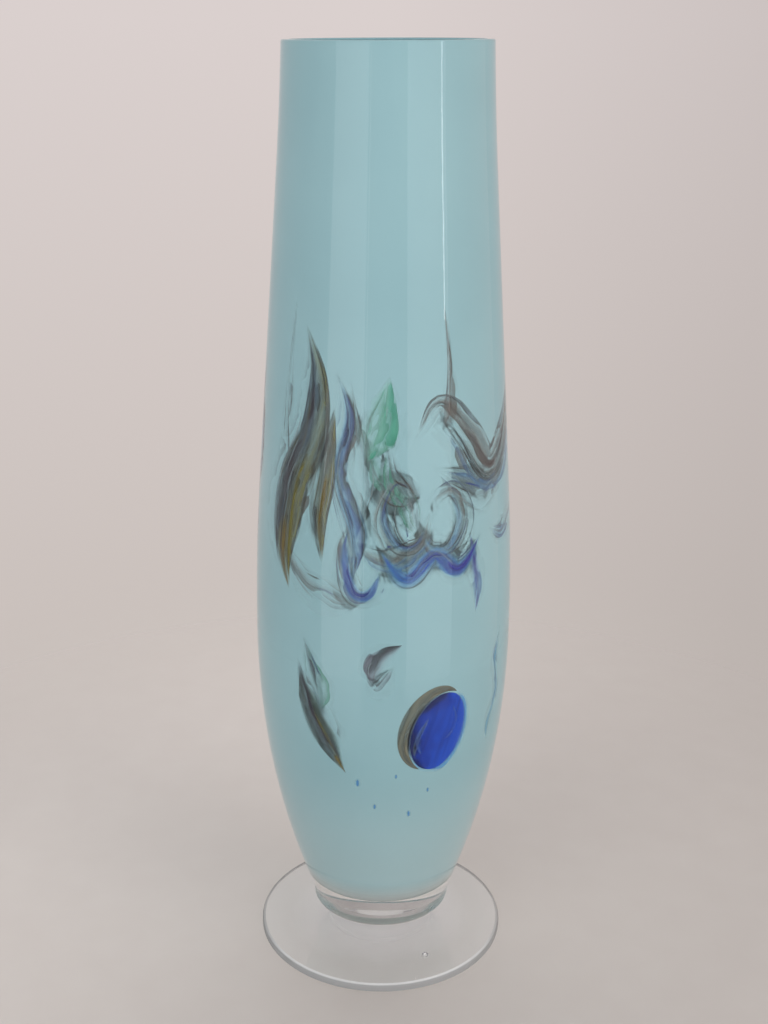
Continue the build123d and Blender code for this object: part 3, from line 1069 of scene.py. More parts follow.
@dataclass
class SpunFoot:
    """The foot: a gather stuck to the base and spun out thin, with a fire-polished edge."""

    outside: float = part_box("foot")[1][0] / MM
    top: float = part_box("foot")[1][2] / MM
    edge: float = 3.1
    edge_round: float = 1.2
    heel_round: float = 0.7
    disc_rise: float = 1.5
    join_radius: float = 8.0
    join_neck: float = 3.5
    join_slack: float = 0.3  # faces this near the top belong to the join
    stem_flare: float = 5.0
    ring_width: float = 7.0
    underside_rise: float = 2.0
    pontil_radius: float = 11.0
    pontil_depth: float = 1.1
    seeds: tuple[Seed, ...] = (
        Seed(31.4, 32.4, 1.75, 2.7),
        Seed(58.0, 40.5, 2.4, 0.45),
        Seed(-24.0, 36.0, 2.9, 0.35),
        Seed(148.0, 30.0, 3.6, 0.5),
        Seed(-112.0, 38.0, 2.6, 0.4),
    )
    glass: ClearGlass = ClearGlass("spun_foot_glass", haze=0.3, haze_rim=0.09, caught_after=64.0)
    join: FusedJoin = FusedJoin("fused_foot_join")
    edge_glass: EdgeGlass = EdgeGlass("fire_polished_edge_glass")

    def profile(self) -> np.ndarray:
        """Trace the foot's half-section.

        Returns:
            Rows of radius and height, from the join down, out and round to the dish.
        """
        disc_edge = (self.outside - self.edge_round, self.edge)
        disc_middle = (self.join_radius + self.stem_flare, self.edge + self.disc_rise)
        stem_foot = (self.join_radius, self.top - self.join_neck)
        disc_top = tangent_arc(disc_edge, (-1, 0), disc_middle, 60)
        flare = tangent_arc(disc_middle, tuple(disc_top[-1] - disc_top[-2]), stem_foot, 24)
        ring_inside = self.outside - self.heel_round - self.ring_width
        dome = (self.pontil_radius, self.underside_rise)
        heel = (self.outside, self.heel_round)
        return np.vstack(
            [
                straight((0.0, self.top), (self.join_radius, self.top), 3),
                straight((self.join_radius, self.top), stem_foot, 3)[1:-1],
                flare[::-1],
                disc_top[-2::-1],
                tangent_arc(disc_edge, (1, 0), (self.outside, self.edge - self.edge_round), 10)[1:],
                tangent_arc(heel, (0, -1), (self.outside - self.heel_round, 0.0), 8),
                straight((self.outside - self.heel_round, 0.0), (ring_inside, 0.0), 3)[1:],
                tangent_arc((ring_inside, 0.0), (-1, 0), dome, 24)[1:],
                tangent_arc((0.0, dome[1] + self.pontil_depth), (1, 0), dome, 12)[::-1][1:],
            ]
        )

    def build(self) -> None:
        """Build the clear piece, with its seeds as hollows inside it."""
        piece = lathe("spun_foot", self.profile(), around=256)
        radius, height = face_centres(piece)
        fused = (radius < self.join_radius) & (np.abs(height - self.top) < self.join_slack)
        edge = radius > self.outside - self.edge_round
        finishes = [self.glass.material(), self.join.material(), self.edge_glass.material()]
        paint(piece, finishes, np.where(edge, 2, fused))
        bm = bmesh.new()
        bm.from_mesh(piece.data)
        for seed in self.seeds:
            turn = math.radians(seed.azimuth)
            place = Vector((seed.radius * math.sin(turn), -seed.radius * math.cos(turn), seed.height))
            made = bmesh.ops.create_icosphere(
                bm, subdivisions=3, radius=seed.size / 2 * MM, matrix=Matrix.Translation(place * MM)
            )
            shell = {face for vert in made["verts"] for face in vert.link_faces}
            bmesh.ops.reverse_faces(bm, faces=list(shell))
            for face in shell:
                face.smooth = True
        bm.to_mesh(piece.data)
        bm.free()
        belongs(piece, ("foot",))


# Hand movements: points across, up and half-wide, as shares of a stroke's sizes
PLUME = ((-0.12, -0.50, 0.0), (-0.30, -0.32, 0.85), (-0.14, -0.08, 1.0), (0.22, 0.12, 0.8),
         (0.26, 0.32, 0.5), (0.02, 0.50, 0.0))
RIBBON = ((0.20, -0.50, 0.0), (0.34, -0.24, 1.0), (-0.16, 0.04, 0.8), (0.06, 0.30, 0.7),
          (-0.30, 0.50, 0.0))
WAVE = ((-0.50, -0.02, 0.0), (-0.33, 0.36, 0.6), (-0.12, 0.04, 0.9), (0.08, -0.34, 1.0),
        (0.30, -0.04, 0.8), (0.50, 0.50, 0.0))
RIPPLE = ((-0.50, 0.28, 0.0), (-0.26, -0.28, 0.9), (0.00, 0.10, 0.9), (0.24, -0.22, 1.0),
          (0.50, 0.30, 0.0))
LEAF = ((-0.30, -0.50, 0.0), (-0.02, -0.16, 1.0), (0.16, 0.18, 0.7), (0.34, 0.50, 0.0))
HAZE = ((-0.50, 0.10, 0.0), (-0.14, -0.22, 1.0), (0.18, 0.02, 0.8), (0.50, 0.34, 0.0))
STREAK = ((-0.42, 0.50, 0.0), (-0.20, 0.14, 0.8), (0.14, -0.18, 1.0), (0.46, -0.50, 0.0))
COMMA = ((0.50, 0.40, 0.0), (0.12, 0.20, 0.8), (-0.20, -0.10, 1.0), (-0.26, -0.50, 0.0))
THREAD = ((0.34, 0.50, 0.0), (-0.10, 0.22, 0.9), (0.16, -0.06, 0.8), (-0.30, -0.32, 1.0),
          (-0.16, -0.50, 0.0))
# Movements of the wisps that were pulled off the main strokes
FLAME = ((-0.10, -0.50, 0.0), (-0.34, -0.20, 0.9), (-0.08, 0.10, 1.0), (0.30, 0.50, 0.0))
HOOK = ((-0.34, 0.50, 0.0), (-0.46, 0.05, 0.7), (-0.24, -0.40, 1.0), (0.16, -0.42, 0.9),
        (0.42, -0.08, 0.5), (0.30, 0.24, 0.0))
NEEDLE = ((0.30, -0.50, 0.0), (-0.06, -0.34, 1.0), (-0.10, 0.00, 0.45), (0.16, 0.50, 0.0))
DRAPE = ((-0.50, 0.34, 0.0), (-0.20, -0.14, 0.8), (0.16, -0.34, 1.0), (0.50, -0.40, 0.0))
CURL = ((-0.50, 0.14, 0.0), (-0.26, -0.36, 0.6), (0.16, -0.40, 0.9), (0.42, -0.02, 1.0),
        (0.20, 0.36, 0.8), (-0.12, 0.26, 0.5), (-0.06, 0.00, 0.0))


def veil(name: str, pale: str, deep: str, line: str, seed: float, opacity: float) -> TrailGlass:
    """Choose a colour drawn so thin that it is only smoke on the opal, in a few folds.

    Args:
        name: The glass's name.
        pale: Its colour at both sides.
        deep: Its colour in the middle.
        line: Its colour in the creases.
        seed: Seed of its streaks.
        opacity: How much of the opal it hides.

    Returns:
        The glass.
    """
    return TrailGlass(
        name, ((0.0, pale), (0.5, deep), (1.0, pale)), line=line, halo="#8fb2b8",
        opacity=opacity, hard_side=Side.NONE, streak_mm=1.6, streak_depth=0.3, warp=0.3, wisp=0.7,
        ragged=0.7, pleats=2.6, pleat_depth=0.8, pleat_open=0.75, tips=(0.25, 0.25), seed=seed,
    )


def hair(name: str, colour: str, seed: float, opacity: float) -> TrailGlass:
    """Choose a colour for single thin lines.

    Args:
        name: The glass's name.
        colour: Its colour.
        seed: Seed of its streaks.
        opacity: How much of the opal it hides.

    Returns:
        The glass.
    """
    return TrailGlass(
        name, ((0.0, colour), (0.5, colour), (1.0, colour)), line=colour, halo="#86a4aa",
        opacity=opacity, hard_side=Side.NONE, soft=0.5, streak_depth=0.0, warp=0.0,
        wisp=0.5, ragged=0.0, tips=(0.35, 0.35), seed=seed,
    )


SMOKE = veil("smoke_veil_glass", "#8ba0a3", "#6f8187", "#3e474c", 3.0, 0.7)
BLUE_SMOKE = veil("blue_smoke_glass", "#74a0bd", "#4a83b4", "#2b5590", 5.0, 0.75)
BROWN_SMOKE = veil("brown_smoke_glass", "#8a928a", "#756f67", "#423a33", 7.0, 0.8)
GREEN_SMOKE = veil("green_smoke_glass", "#84b7aa", "#64a894", "#4c8f7e", 10.7, 0.8)
LILAC_SMOKE = veil("lilac_smoke_glass", "#93a3ac", "#857f90", "#4c4252", 13.0, 0.75)
DARK_HAIR = hair("dark_line_glass", "#1e2327", 15.0, 0.9)
OLIVE_HAIR = hair("olive_line_glass", "#4c4c26", 19.0, 0.85)
BROWN_HAIR = hair("brown_line_glass", "#3a3029", 21.0, 0.85)
PALE_HAIR = hair("pale_line_glass", "#9db4b8", 25.0, 0.65)
BLUE_HAIR = hair("blue_line_glass", "#173c8e", 27.0, 0.85)
GREEN_HAIR = hair("green_line_glass", "#3d8f78", 29.0, 0.6)
OLIVE = TrailGlass(
    "olive_glass",
    ((0.0, "#55542f"), (0.25, "#77753a"), (0.5, "#565a49"), (0.75, "#333e43"), (1.0, "#50616c")),
    line="#24292a", halo="#7b8f86", opacity=0.97, soft=0.3, warp=0.3, pleats=1.7,
    pleat_depth=0.7, pleat_open=0.25, seed=11.0,
)
SLATE = TrailGlass(
    "slate_glass", ((0.0, "#2a3742"), (0.4, "#46607a"), (0.7, "#222d38"), (1.0, "#6f8ea0")),
    line="#171d24", halo="#7a98a2", hard_side=Side.HIGH, soft=0.5, pleats=2.2, pleat_open=0.35, seed=17.0,
)
MAROON = TrailGlass(
    "maroon_ink_glass", ((0.0, "#4a3a3c"), (0.5, "#30252a"), (1.0, "#3c4654")),
    line="#1a161b", halo="#5c5a60", opacity=0.88, hard_side=Side.NONE, soft=0.6, seed=23.0,
)
GOLD = TrailGlass(
    "yellow_olive_glass", ((0.0, "#82812a"), (0.5, "#77721f"), (1.0, "#64643a")),
    line="#44441f", halo="#78805a", opacity=0.88, hard_side=Side.NONE, soft=0.55, seed=31.0,
)
AMBER = TrailGlass(
    "amber_glass", ((0.0, "#5f5020"), (0.5, "#766423"), (1.0, "#626234")),
    line="#33301a", halo="#757c60", opacity=0.92, hard_side=Side.NONE, soft=0.5, seed=33.0,
)
TAUPE = TrailGlass(
    "taupe_glass", ((0.0, "#6a645c"), (0.35, "#554b43"), (0.7, "#736b64"), (1.0, "#7d97a4")),
    line="#352d28", halo="#86a0a4", opacity=0.93, hard_side=Side.HIGH, soft=0.6, pleats=2.3,
    pleat_open=0.55, seed=37.0,
)
COBALT = TrailGlass(
    "cobalt_glass", ((0.0, "#18367f"), (0.4, "#1544ac"), (0.7, "#2c3a9c"), (1.0, "#3a78c0")),
    line="#152a66", halo="#4a94ce", opacity=0.97, hard_side=Side.NONE, soft=0.4, pleats=1.6,
    pleat_open=0.3, tone=0.85, seed=41.0,
)
INK = TrailGlass(
    "ink_blue_glass",
    ((0.0, "#222d35"), (0.35, "#1a3990"), (0.65, "#274f88"), (1.0, "#5f8aa6")),
    line="#18242e", halo="#5fa0c4", soft=0.5, pleats=1.8, pleat_open=0.45, seed=43.0,
)
BRIGHT_BLUE = TrailGlass(
    "bright_blue_glass", ((0.0, "#5aa6d0"), (0.5, "#3f86cc"), (1.0, "#6cb0cf")),
    line="#2a5fb0", halo="#83b8c8", opacity=0.8, hard_side=Side.NONE, soft=0.6, pleats=1.5,
    pleat_open=0.4, seed=47.0,
)
VIOLET = TrailGlass(
    "violet_glass", ((0.0, "#3b3b96"), (0.5, "#36349a"), (1.0, "#4856aa")),
    line="#262670", halo="#5f86c0", opacity=0.85, hard_side=Side.NONE, soft=0.55, seed=51.0,
)
EMERALD = TrailGlass(
    "emerald_glass", ((0.0, "#3f9f84"), (0.4, "#5bb095"), (0.75, "#78bca6"), (1.0, "#8cc4b8")),
    line="#33826c", halo="#8fc0b8", opacity=0.92, soft=0.75, line_depth=0.5,
    streak_depth=0.3, wisp=0.3, pleats=1.4, pleat_depth=0.45, pleat_open=0.45, tone=0.85, seed=53.0,
)
FOREST = TrailGlass(
    "forest_glass", ((0.0, "#2c4238"), (0.35, "#202427"), (0.6, "#424256"), (1.0, "#3a5547")),
    line="#15191b", halo="#6a8c88", opacity=0.97, soft=0.35, warp=0.3, pleats=1.8,
    pleat_open=0.3, seed=57.0,
)
MAUVE = TrailGlass(
    "mauve_grey_glass", ((0.0, "#5a6b7c"), (0.5, "#565b74"), (1.0, "#667c74")),
    line="#2b2e37", halo="#7fa4ac", opacity=0.88, hard_side=Side.NONE, soft=0.5, pleats=1.8,
    pleat_open=0.5, seed=59.0,
)
AUBERGINE = TrailGlass(
    "aubergine_glass", ((0.0, "#1f141d"), (0.5, "#332330"), (1.0, "#6a5868")),
    line="#180f15", halo="#857f90", opacity=0.98, soft=0.55, tips=(0.02, 0.4), pleats=1.2,
    pleat_open=0.4, seed=61.0,
)
TURQUOISE = TrailGlass(
    "turquoise_glass", ((0.0, "#3f7fc0"), (0.5, "#4fa3c4"), (1.0, "#6fb2c8")),
    line="#2f62a4", halo="#7fb8c4", opacity=0.9, hard_side=Side.NONE, soft=0.6, seed=67.0,
)
BEAD_BLUE = TrailGlass(
    "bead_blue_glass", ((0.0, "#1c50c4"), (0.35, "#184cc0"), (0.7, "#143aa0"), (1.0, "#0e1f58")),
    line="#0c1f60", halo="#24509c", opacity=1.0, hard_side=Side.NONE, soft=0.06,
    streak_mm=4.0, streak_depth=0.5, warp=0.3, wisp=0.0, ragged=0.0, tips=(0.004, 0.004),
    tone=0.9, seed=71.0,
)
BEAD_HALO = TrailGlass(
    "bead_halo_glass", ((0.0, "#4f93c4"), (0.5, "#3f7fc0"), (1.0, "#4f93c4")),
    line="#3f7fc0", halo="#7fb4c6", opacity=0.85, hard_side=Side.NONE, soft=0.14,
    wisp=0.2, streak_depth=0.1, ragged=0.0, tips=(0.1, 0.1), tone=0.95, seed=75.0,
)
PALE_SWIRL = TrailGlass(
    "pale_swirl_glass", ((0.0, "#2f5cb8"), (0.5, "#5c84cc"), (1.0, "#2f5cb8")),
    line="#2a4aa0", halo="#2352b4", opacity=0.8, hard_side=Side.NONE, soft=0.6, seed=73.0,
)
KHAKI = TrailGlass(
    "khaki_glass", ((0.0, "#60614f"), (0.3, "#77745f"), (0.6, "#5f5c4c"), (1.0, "#8a8670")),
    line="#34322a", halo="#7f8a80", opacity=0.96, hard_side=Side.HIGH, soft=0.1,
    streak_mm=2.0, streak_depth=0.5, wisp=0.1, ragged=0.0, pleats=1.3, pleat_depth=0.5,
    pleat_open=0.1, tips=(0.02, 0.02), seed=79.0,
)
FLECK_BLUE = TrailGlass(
    "blue_fleck_glass", ((0.0, "#3f86b8"), (0.5, "#2f74b4"), (1.0, "#4f97bc")),
    line="#2f6a98", halo="#6fa8bc", opacity=1.0, hard_side=Side.NONE, soft=0.6,
    tips=(0.3, 0.4), wisp=0.2, streak_depth=0.2, tone=0.95, seed=83.0,
)


@dataclass(frozen=True)
class Stroke:
    """A hand movement at its place in a motif, and the strands drawn along it."""

    movement: Triples  # across, up and half-width, as shares of the sizes below
    aside: float  # degrees from the motif's middle, towards the right
    up: float  # from the motif's height
    span: float  # degrees of the body's widest ring that it takes
    tall: float
    half: float  # half the width of the stroke
    strands: tuple[Strand, ...]
    hand: int = 1  # or -1, for the movement turned the other way

    def path(self, azimuth: float, height: float, hand: int) -> Path:
        """Scale the movement to its place on the body.

        Args:
            azimuth: The motif's degrees from the front, towards the right.
            height: The motif's height, in millimetres.
            hand: 1, or -1 for the motif turned the other way.

        Returns:
            The path.
        """
        sizes = (hand * self.hand * belly_width(self.span), self.tall, self.half)
        points = np.array(self.movement) * sizes + (0.0, height + self.up, 0.0)
        return Path(azimuth + self.aside * hand, smooth_path(points, 20))


@dataclass(frozen=True)
class Motif:
    """Strokes that make one bit, those below first."""

    slot: str
    strokes: tuple[Stroke, ...]
    low: bool = False  # in the loose group under the band


# A tall plume, olive on one side and slate on the other, with a smoky skirt
TALL_PLUME = Motif("amber_glass", (
    Stroke(DRAPE, 13, -36, 36.0, 22.0, 6.5, (
        Strand(BROWN_SMOKE, wide=1.2),
        Strand(SMOKE, shift=-0.5, wide=0.9, layer=1),
        *folds(3, 5, (BROWN_HAIR, PALE_HAIR, BLUE_HAIR)),
    )),
    Stroke(NEEDLE, -8, 26, 9.0, 62.0, 3.4, (
        Strand(SMOKE, wide=1.6),
        *folds(5, 4, (BROWN_HAIR, DARK_HAIR), layer=1),
    )),
    Stroke(FLAME, 15, -6, 10.0, 54.0, 4.2, (
        Strand(BROWN_SMOKE, wide=1.7),
        Strand(OLIVE, wide=1.0, layer=1),
        Strand(AMBER, shift=-0.2, wide=0.4, start=0.05, end=0.6, layer=2),
        *folds(2, 7, (DARK_HAIR, OLIVE_HAIR, PALE_HAIR), layer=3),
    )),
    Stroke(PLUME, 0, 0, 27.0, 94.0, 6.8, (
        Strand(SMOKE, shift=0.7, wide=1.5, start=0.04),
        Strand(BROWN_SMOKE, shift=-0.7, wide=0.9, start=0.1, end=0.8),
        Strand(OLIVE, shift=-0.1, wide=1.0, start=0.01, layer=1),
        Strand(SLATE, shift=0.6, wide=0.6, start=0.12, end=0.97, layer=2, drift=-0.35),
        Strand(MAROON, shift=0.25, wide=0.4, start=0.32, end=0.8, layer=3, bow=0.2),
        Strand(GOLD, shift=-0.55, wide=0.3, start=0.03, end=0.55, layer=3, drift=0.4),
        Strand(AMBER, shift=0.1, wide=0.6, start=0.02, end=0.3, layer=3),
        *folds(1, 16, (DARK_HAIR, PALE_HAIR, OLIVE_HAIR, DARK_HAIR), spread=1.0),
    )),
))
# A narrow ribbon, ink-blue with a cobalt heart, that ends in a soft hook
NARROW_RIBBON = Motif("ink_glass", (
    Stroke(FLAME, 6, 6, 12.0, 50.0, 3.6, (
        Strand(SMOKE, wide=1.6),
        *folds(20, 4, (BROWN_HAIR, BLUE_HAIR, PALE_HAIR)),
    ), hand=-1),
    Stroke(HOOK, 9, -30, 17.0, 26.0, 3.4, (
        Strand(BLUE_SMOKE, wide=2.0),
        Strand(BROWN_SMOKE, shift=-0.5, wide=1.4, layer=1, end=0.8),
        Strand(COBALT, wide=0.7, start=0.04, end=0.8, layer=2),
        *folds(7, 6, (BLUE_HAIR, DARK_HAIR, PALE_HAIR), spread=1.3),
    )),
    Stroke(RIBBON, 0, -4, 16.0, 74.0, 3.1, (
        Strand(BLUE_SMOKE, shift=0.3, wide=2.3),
        Strand(BROWN_SMOKE, shift=-0.8, wide=1.3, start=0.2, end=0.9),
        Strand(INK, shift=-0.1, wide=1.1, start=0.03, end=0.97, layer=2),
        *folds(8, 9, (BLUE_HAIR, DARK_HAIR, PALE_HAIR), spread=1.6),
    )),
))
# A clear emerald leaf with a paler drape beside it
CLEAR_LEAF = Motif("emerald_glass", (
    Stroke(STREAK, 12, -6, 16.0, 34.0, 4.5, (
        Strand(SMOKE, wide=1.4),
        Strand(GREEN_SMOKE, shift=-0.4, wide=0.9, layer=1),
        *folds(30, 6, (GREEN_HAIR, BROWN_HAIR, DARK_HAIR, PALE_HAIR), spread=1.1),
    )),
    Stroke(DRAPE, 8, 3, 22.0, 28.0, 5.5, (
        Strand(GREEN_SMOKE, wide=1.3),
        Strand(SMOKE, shift=-0.8, wide=0.7, layer=1),
        *folds(4, 5, (GREEN_HAIR, BROWN_HAIR, PALE_HAIR)),
    )),
    Stroke(LEAF, 0, 17, 15.0, 30.0, 5.6, (
        Strand(GREEN_SMOKE, shift=-0.6, wide=1.6),
        Strand(EMERALD, wide=1.25, layer=1, start=0.01),
        *folds(6, 4, (GREEN_HAIR, PALE_HAIR), layer=2),
    )),
))
# A wide taupe swag with dark contours, a blue fringe and a drawn-out peak
WIDE_SWAG = Motif("taupe_glass", (
    Stroke(HAZE, -5, -6, 42.0, 22.0, 5.5, (
        Strand(SMOKE, wide=1.6),
        Strand(BLUE_SMOKE, shift=-0.5, wide=0.9, layer=1),
        *folds(22, 5, (BROWN_HAIR, BLUE_HAIR, PALE_HAIR), spread=1.2),
    ), hand=-1),
    Stroke(NEEDLE, -20, 34, 10.0, 42.0, 3.0, (
        Strand(BROWN_SMOKE, wide=1.6),
        Strand(TAUPE, wide=0.8, layer=1),
        *folds(9, 4, (BROWN_HAIR, PALE_HAIR), layer=2),
    ), hand=-1),
    Stroke(WAVE, 0, 10, 66.0, 34.0, 5.2, (
        Strand(BROWN_SMOKE, shift=-0.9, wide=1.8),
        Strand(BLUE_SMOKE, shift=-1.5, wide=0.9, start=0.2, end=0.9, layer=1),
        Strand(TAUPE, wide=1.15, start=0.01, layer=2),
        Strand(MAROON, shift=-0.1, wide=0.5, start=0.35, end=0.8, layer=3),
        *folds(10, 14, (BROWN_HAIR, DARK_HAIR, PALE_HAIR), spread=1.3),
    )),
))
# A low cobalt ripple with a bright blue halo and a violet end
LOW_RIPPLE = Motif("cobalt_glass", (
    Stroke(HAZE, -17, -25, 34.0, 18.0, 5.0, (
        Strand(BROWN_SMOKE, wide=1.2),
        Strand(BLUE_SMOKE, shift=-0.8, wide=0.8, layer=1),
        *folds(24, 5, (BROWN_HAIR, DARK_HAIR, BLUE_HAIR)),
    )),
    Stroke(CURL, -13, -14, 22.0, 28.0, 4.2, (
        Strand(SMOKE, wide=1.7),
        Strand(BROWN_SMOKE, shift=0.2, wide=1.1, layer=1),
        Strand(INK, shift=-0.4, wide=0.4, start=0.15, end=0.7, layer=2, drift=0.5),
        *folds(32, 8, (BROWN_HAIR, DARK_HAIR, BLUE_HAIR, PALE_HAIR), spread=1.2),
    ), hand=-1),
    Stroke(CURL, 4, -17, 24.0, 26.0, 3.8, (
        Strand(SMOKE, wide=1.9),
        Strand(BROWN_SMOKE, wide=1.2, layer=1),
        Strand(BRIGHT_BLUE, shift=0.4, wide=0.7, start=0.1, end=0.8, layer=2),
        *folds(12, 9, (BROWN_HAIR, DARK_HAIR, BLUE_HAIR, PALE_HAIR), spread=1.2),
    )),
    Stroke(FLAME, 21, -38, 7.0, 30.0, 3.0, (
        Strand(BLUE_SMOKE, wide=1.7),
        Strand(VIOLET, wide=0.8, layer=1),
    ), hand=-1),
    Stroke(RIPPLE, 0, -30, 48.0, 20.0, 3.6, (
        Strand(BLUE_SMOKE, shift=0.3, wide=2.3),
        Strand(BRIGHT_BLUE, wide=1.5, layer=1),
        Strand(COBALT, shift=-0.1, wide=1.0, start=0.02, end=0.94, layer=2),
        Strand(VIOLET, wide=0.7, start=0.6, end=0.97, layer=3),
        *folds(11, 8, (BLUE_HAIR, DARK_HAIR, PALE_HAIR), spread=1.2),
    )),
))
# A short smoky haze, denim blue
SHORT_HAZE = Motif("smoke_glass", (
    Stroke(HAZE, 0, -25, 30.0, 12.0, 3.8, (
        Strand(BLUE_SMOKE, wide=1.9),
        Strand(SMOKE, shift=0.2, wide=1.2, layer=1),
        *folds(13, 4, (BLUE_HAIR, BROWN_HAIR)),
    )),
))
# A dark tongue with a yellow line, an olive tip and a green wisp
DARK_TONGUE = Motif("forest_glass", (
    Stroke(FLAME, -3, 14, 14.0, 30.0, 3.6, (
        Strand(GREEN_SMOKE, wide=1.7),
        Strand(MAUVE, wide=0.8, layer=1),
        *folds(26, 4, (DARK_HAIR, BLUE_HAIR, PALE_HAIR)),
    ), hand=-1),
    Stroke(STREAK, 0, 0, 25.0, 42.0, 4.6, (
        Strand(SMOKE, shift=0.5, wide=1.7, end=0.85),
        Strand(MAUVE, wide=1.3, layer=1, end=0.9),
        Strand(FOREST, shift=-0.05, wide=1.05, start=0.08, layer=2),
        Strand(AMBER, wide=0.8, start=0.82, layer=3),
        Strand(GOLD, shift=0.1, wide=0.16, start=0.42, end=0.96, layer=4),
        *folds(14, 8, (DARK_HAIR, PALE_HAIR, OLIVE_HAIR), layer=3),
    )),
), low=True)
# An aubergine comma that fades into a lilac veil
SMALL_COMMA = Motif("aubergine_glass", (
    Stroke(HAZE, -1, 17, 12.0, 15.0, 3.8, (
        Strand(LILAC_SMOKE, wide=1.3),
        Strand(SMOKE, shift=0.4, wide=0.6, layer=1),
    )),
    Stroke(COMMA, 0, 23, 16.0, 17.0, 3.4, (
        Strand(LILAC_SMOKE, shift=-0.3, wide=1.9),
        Strand(AUBERGINE, wide=1.15, layer=1),
        *folds(15, 4, (DARK_HAIR, PALE_HAIR), layer=2),
    )),
), low=True)
# A thin turquoise thread in a pale blue haze
THIN_THREAD = Motif("turquoise_glass", (
    Stroke(THREAD, 0, 5, 11.0, 46.0, 1.5, (
        Strand(BLUE_SMOKE, wide=2.4),
        Strand(TURQUOISE, layer=1),
        *folds(16, 2, (BLUE_HAIR,), layer=2),
    )),
), low=True)


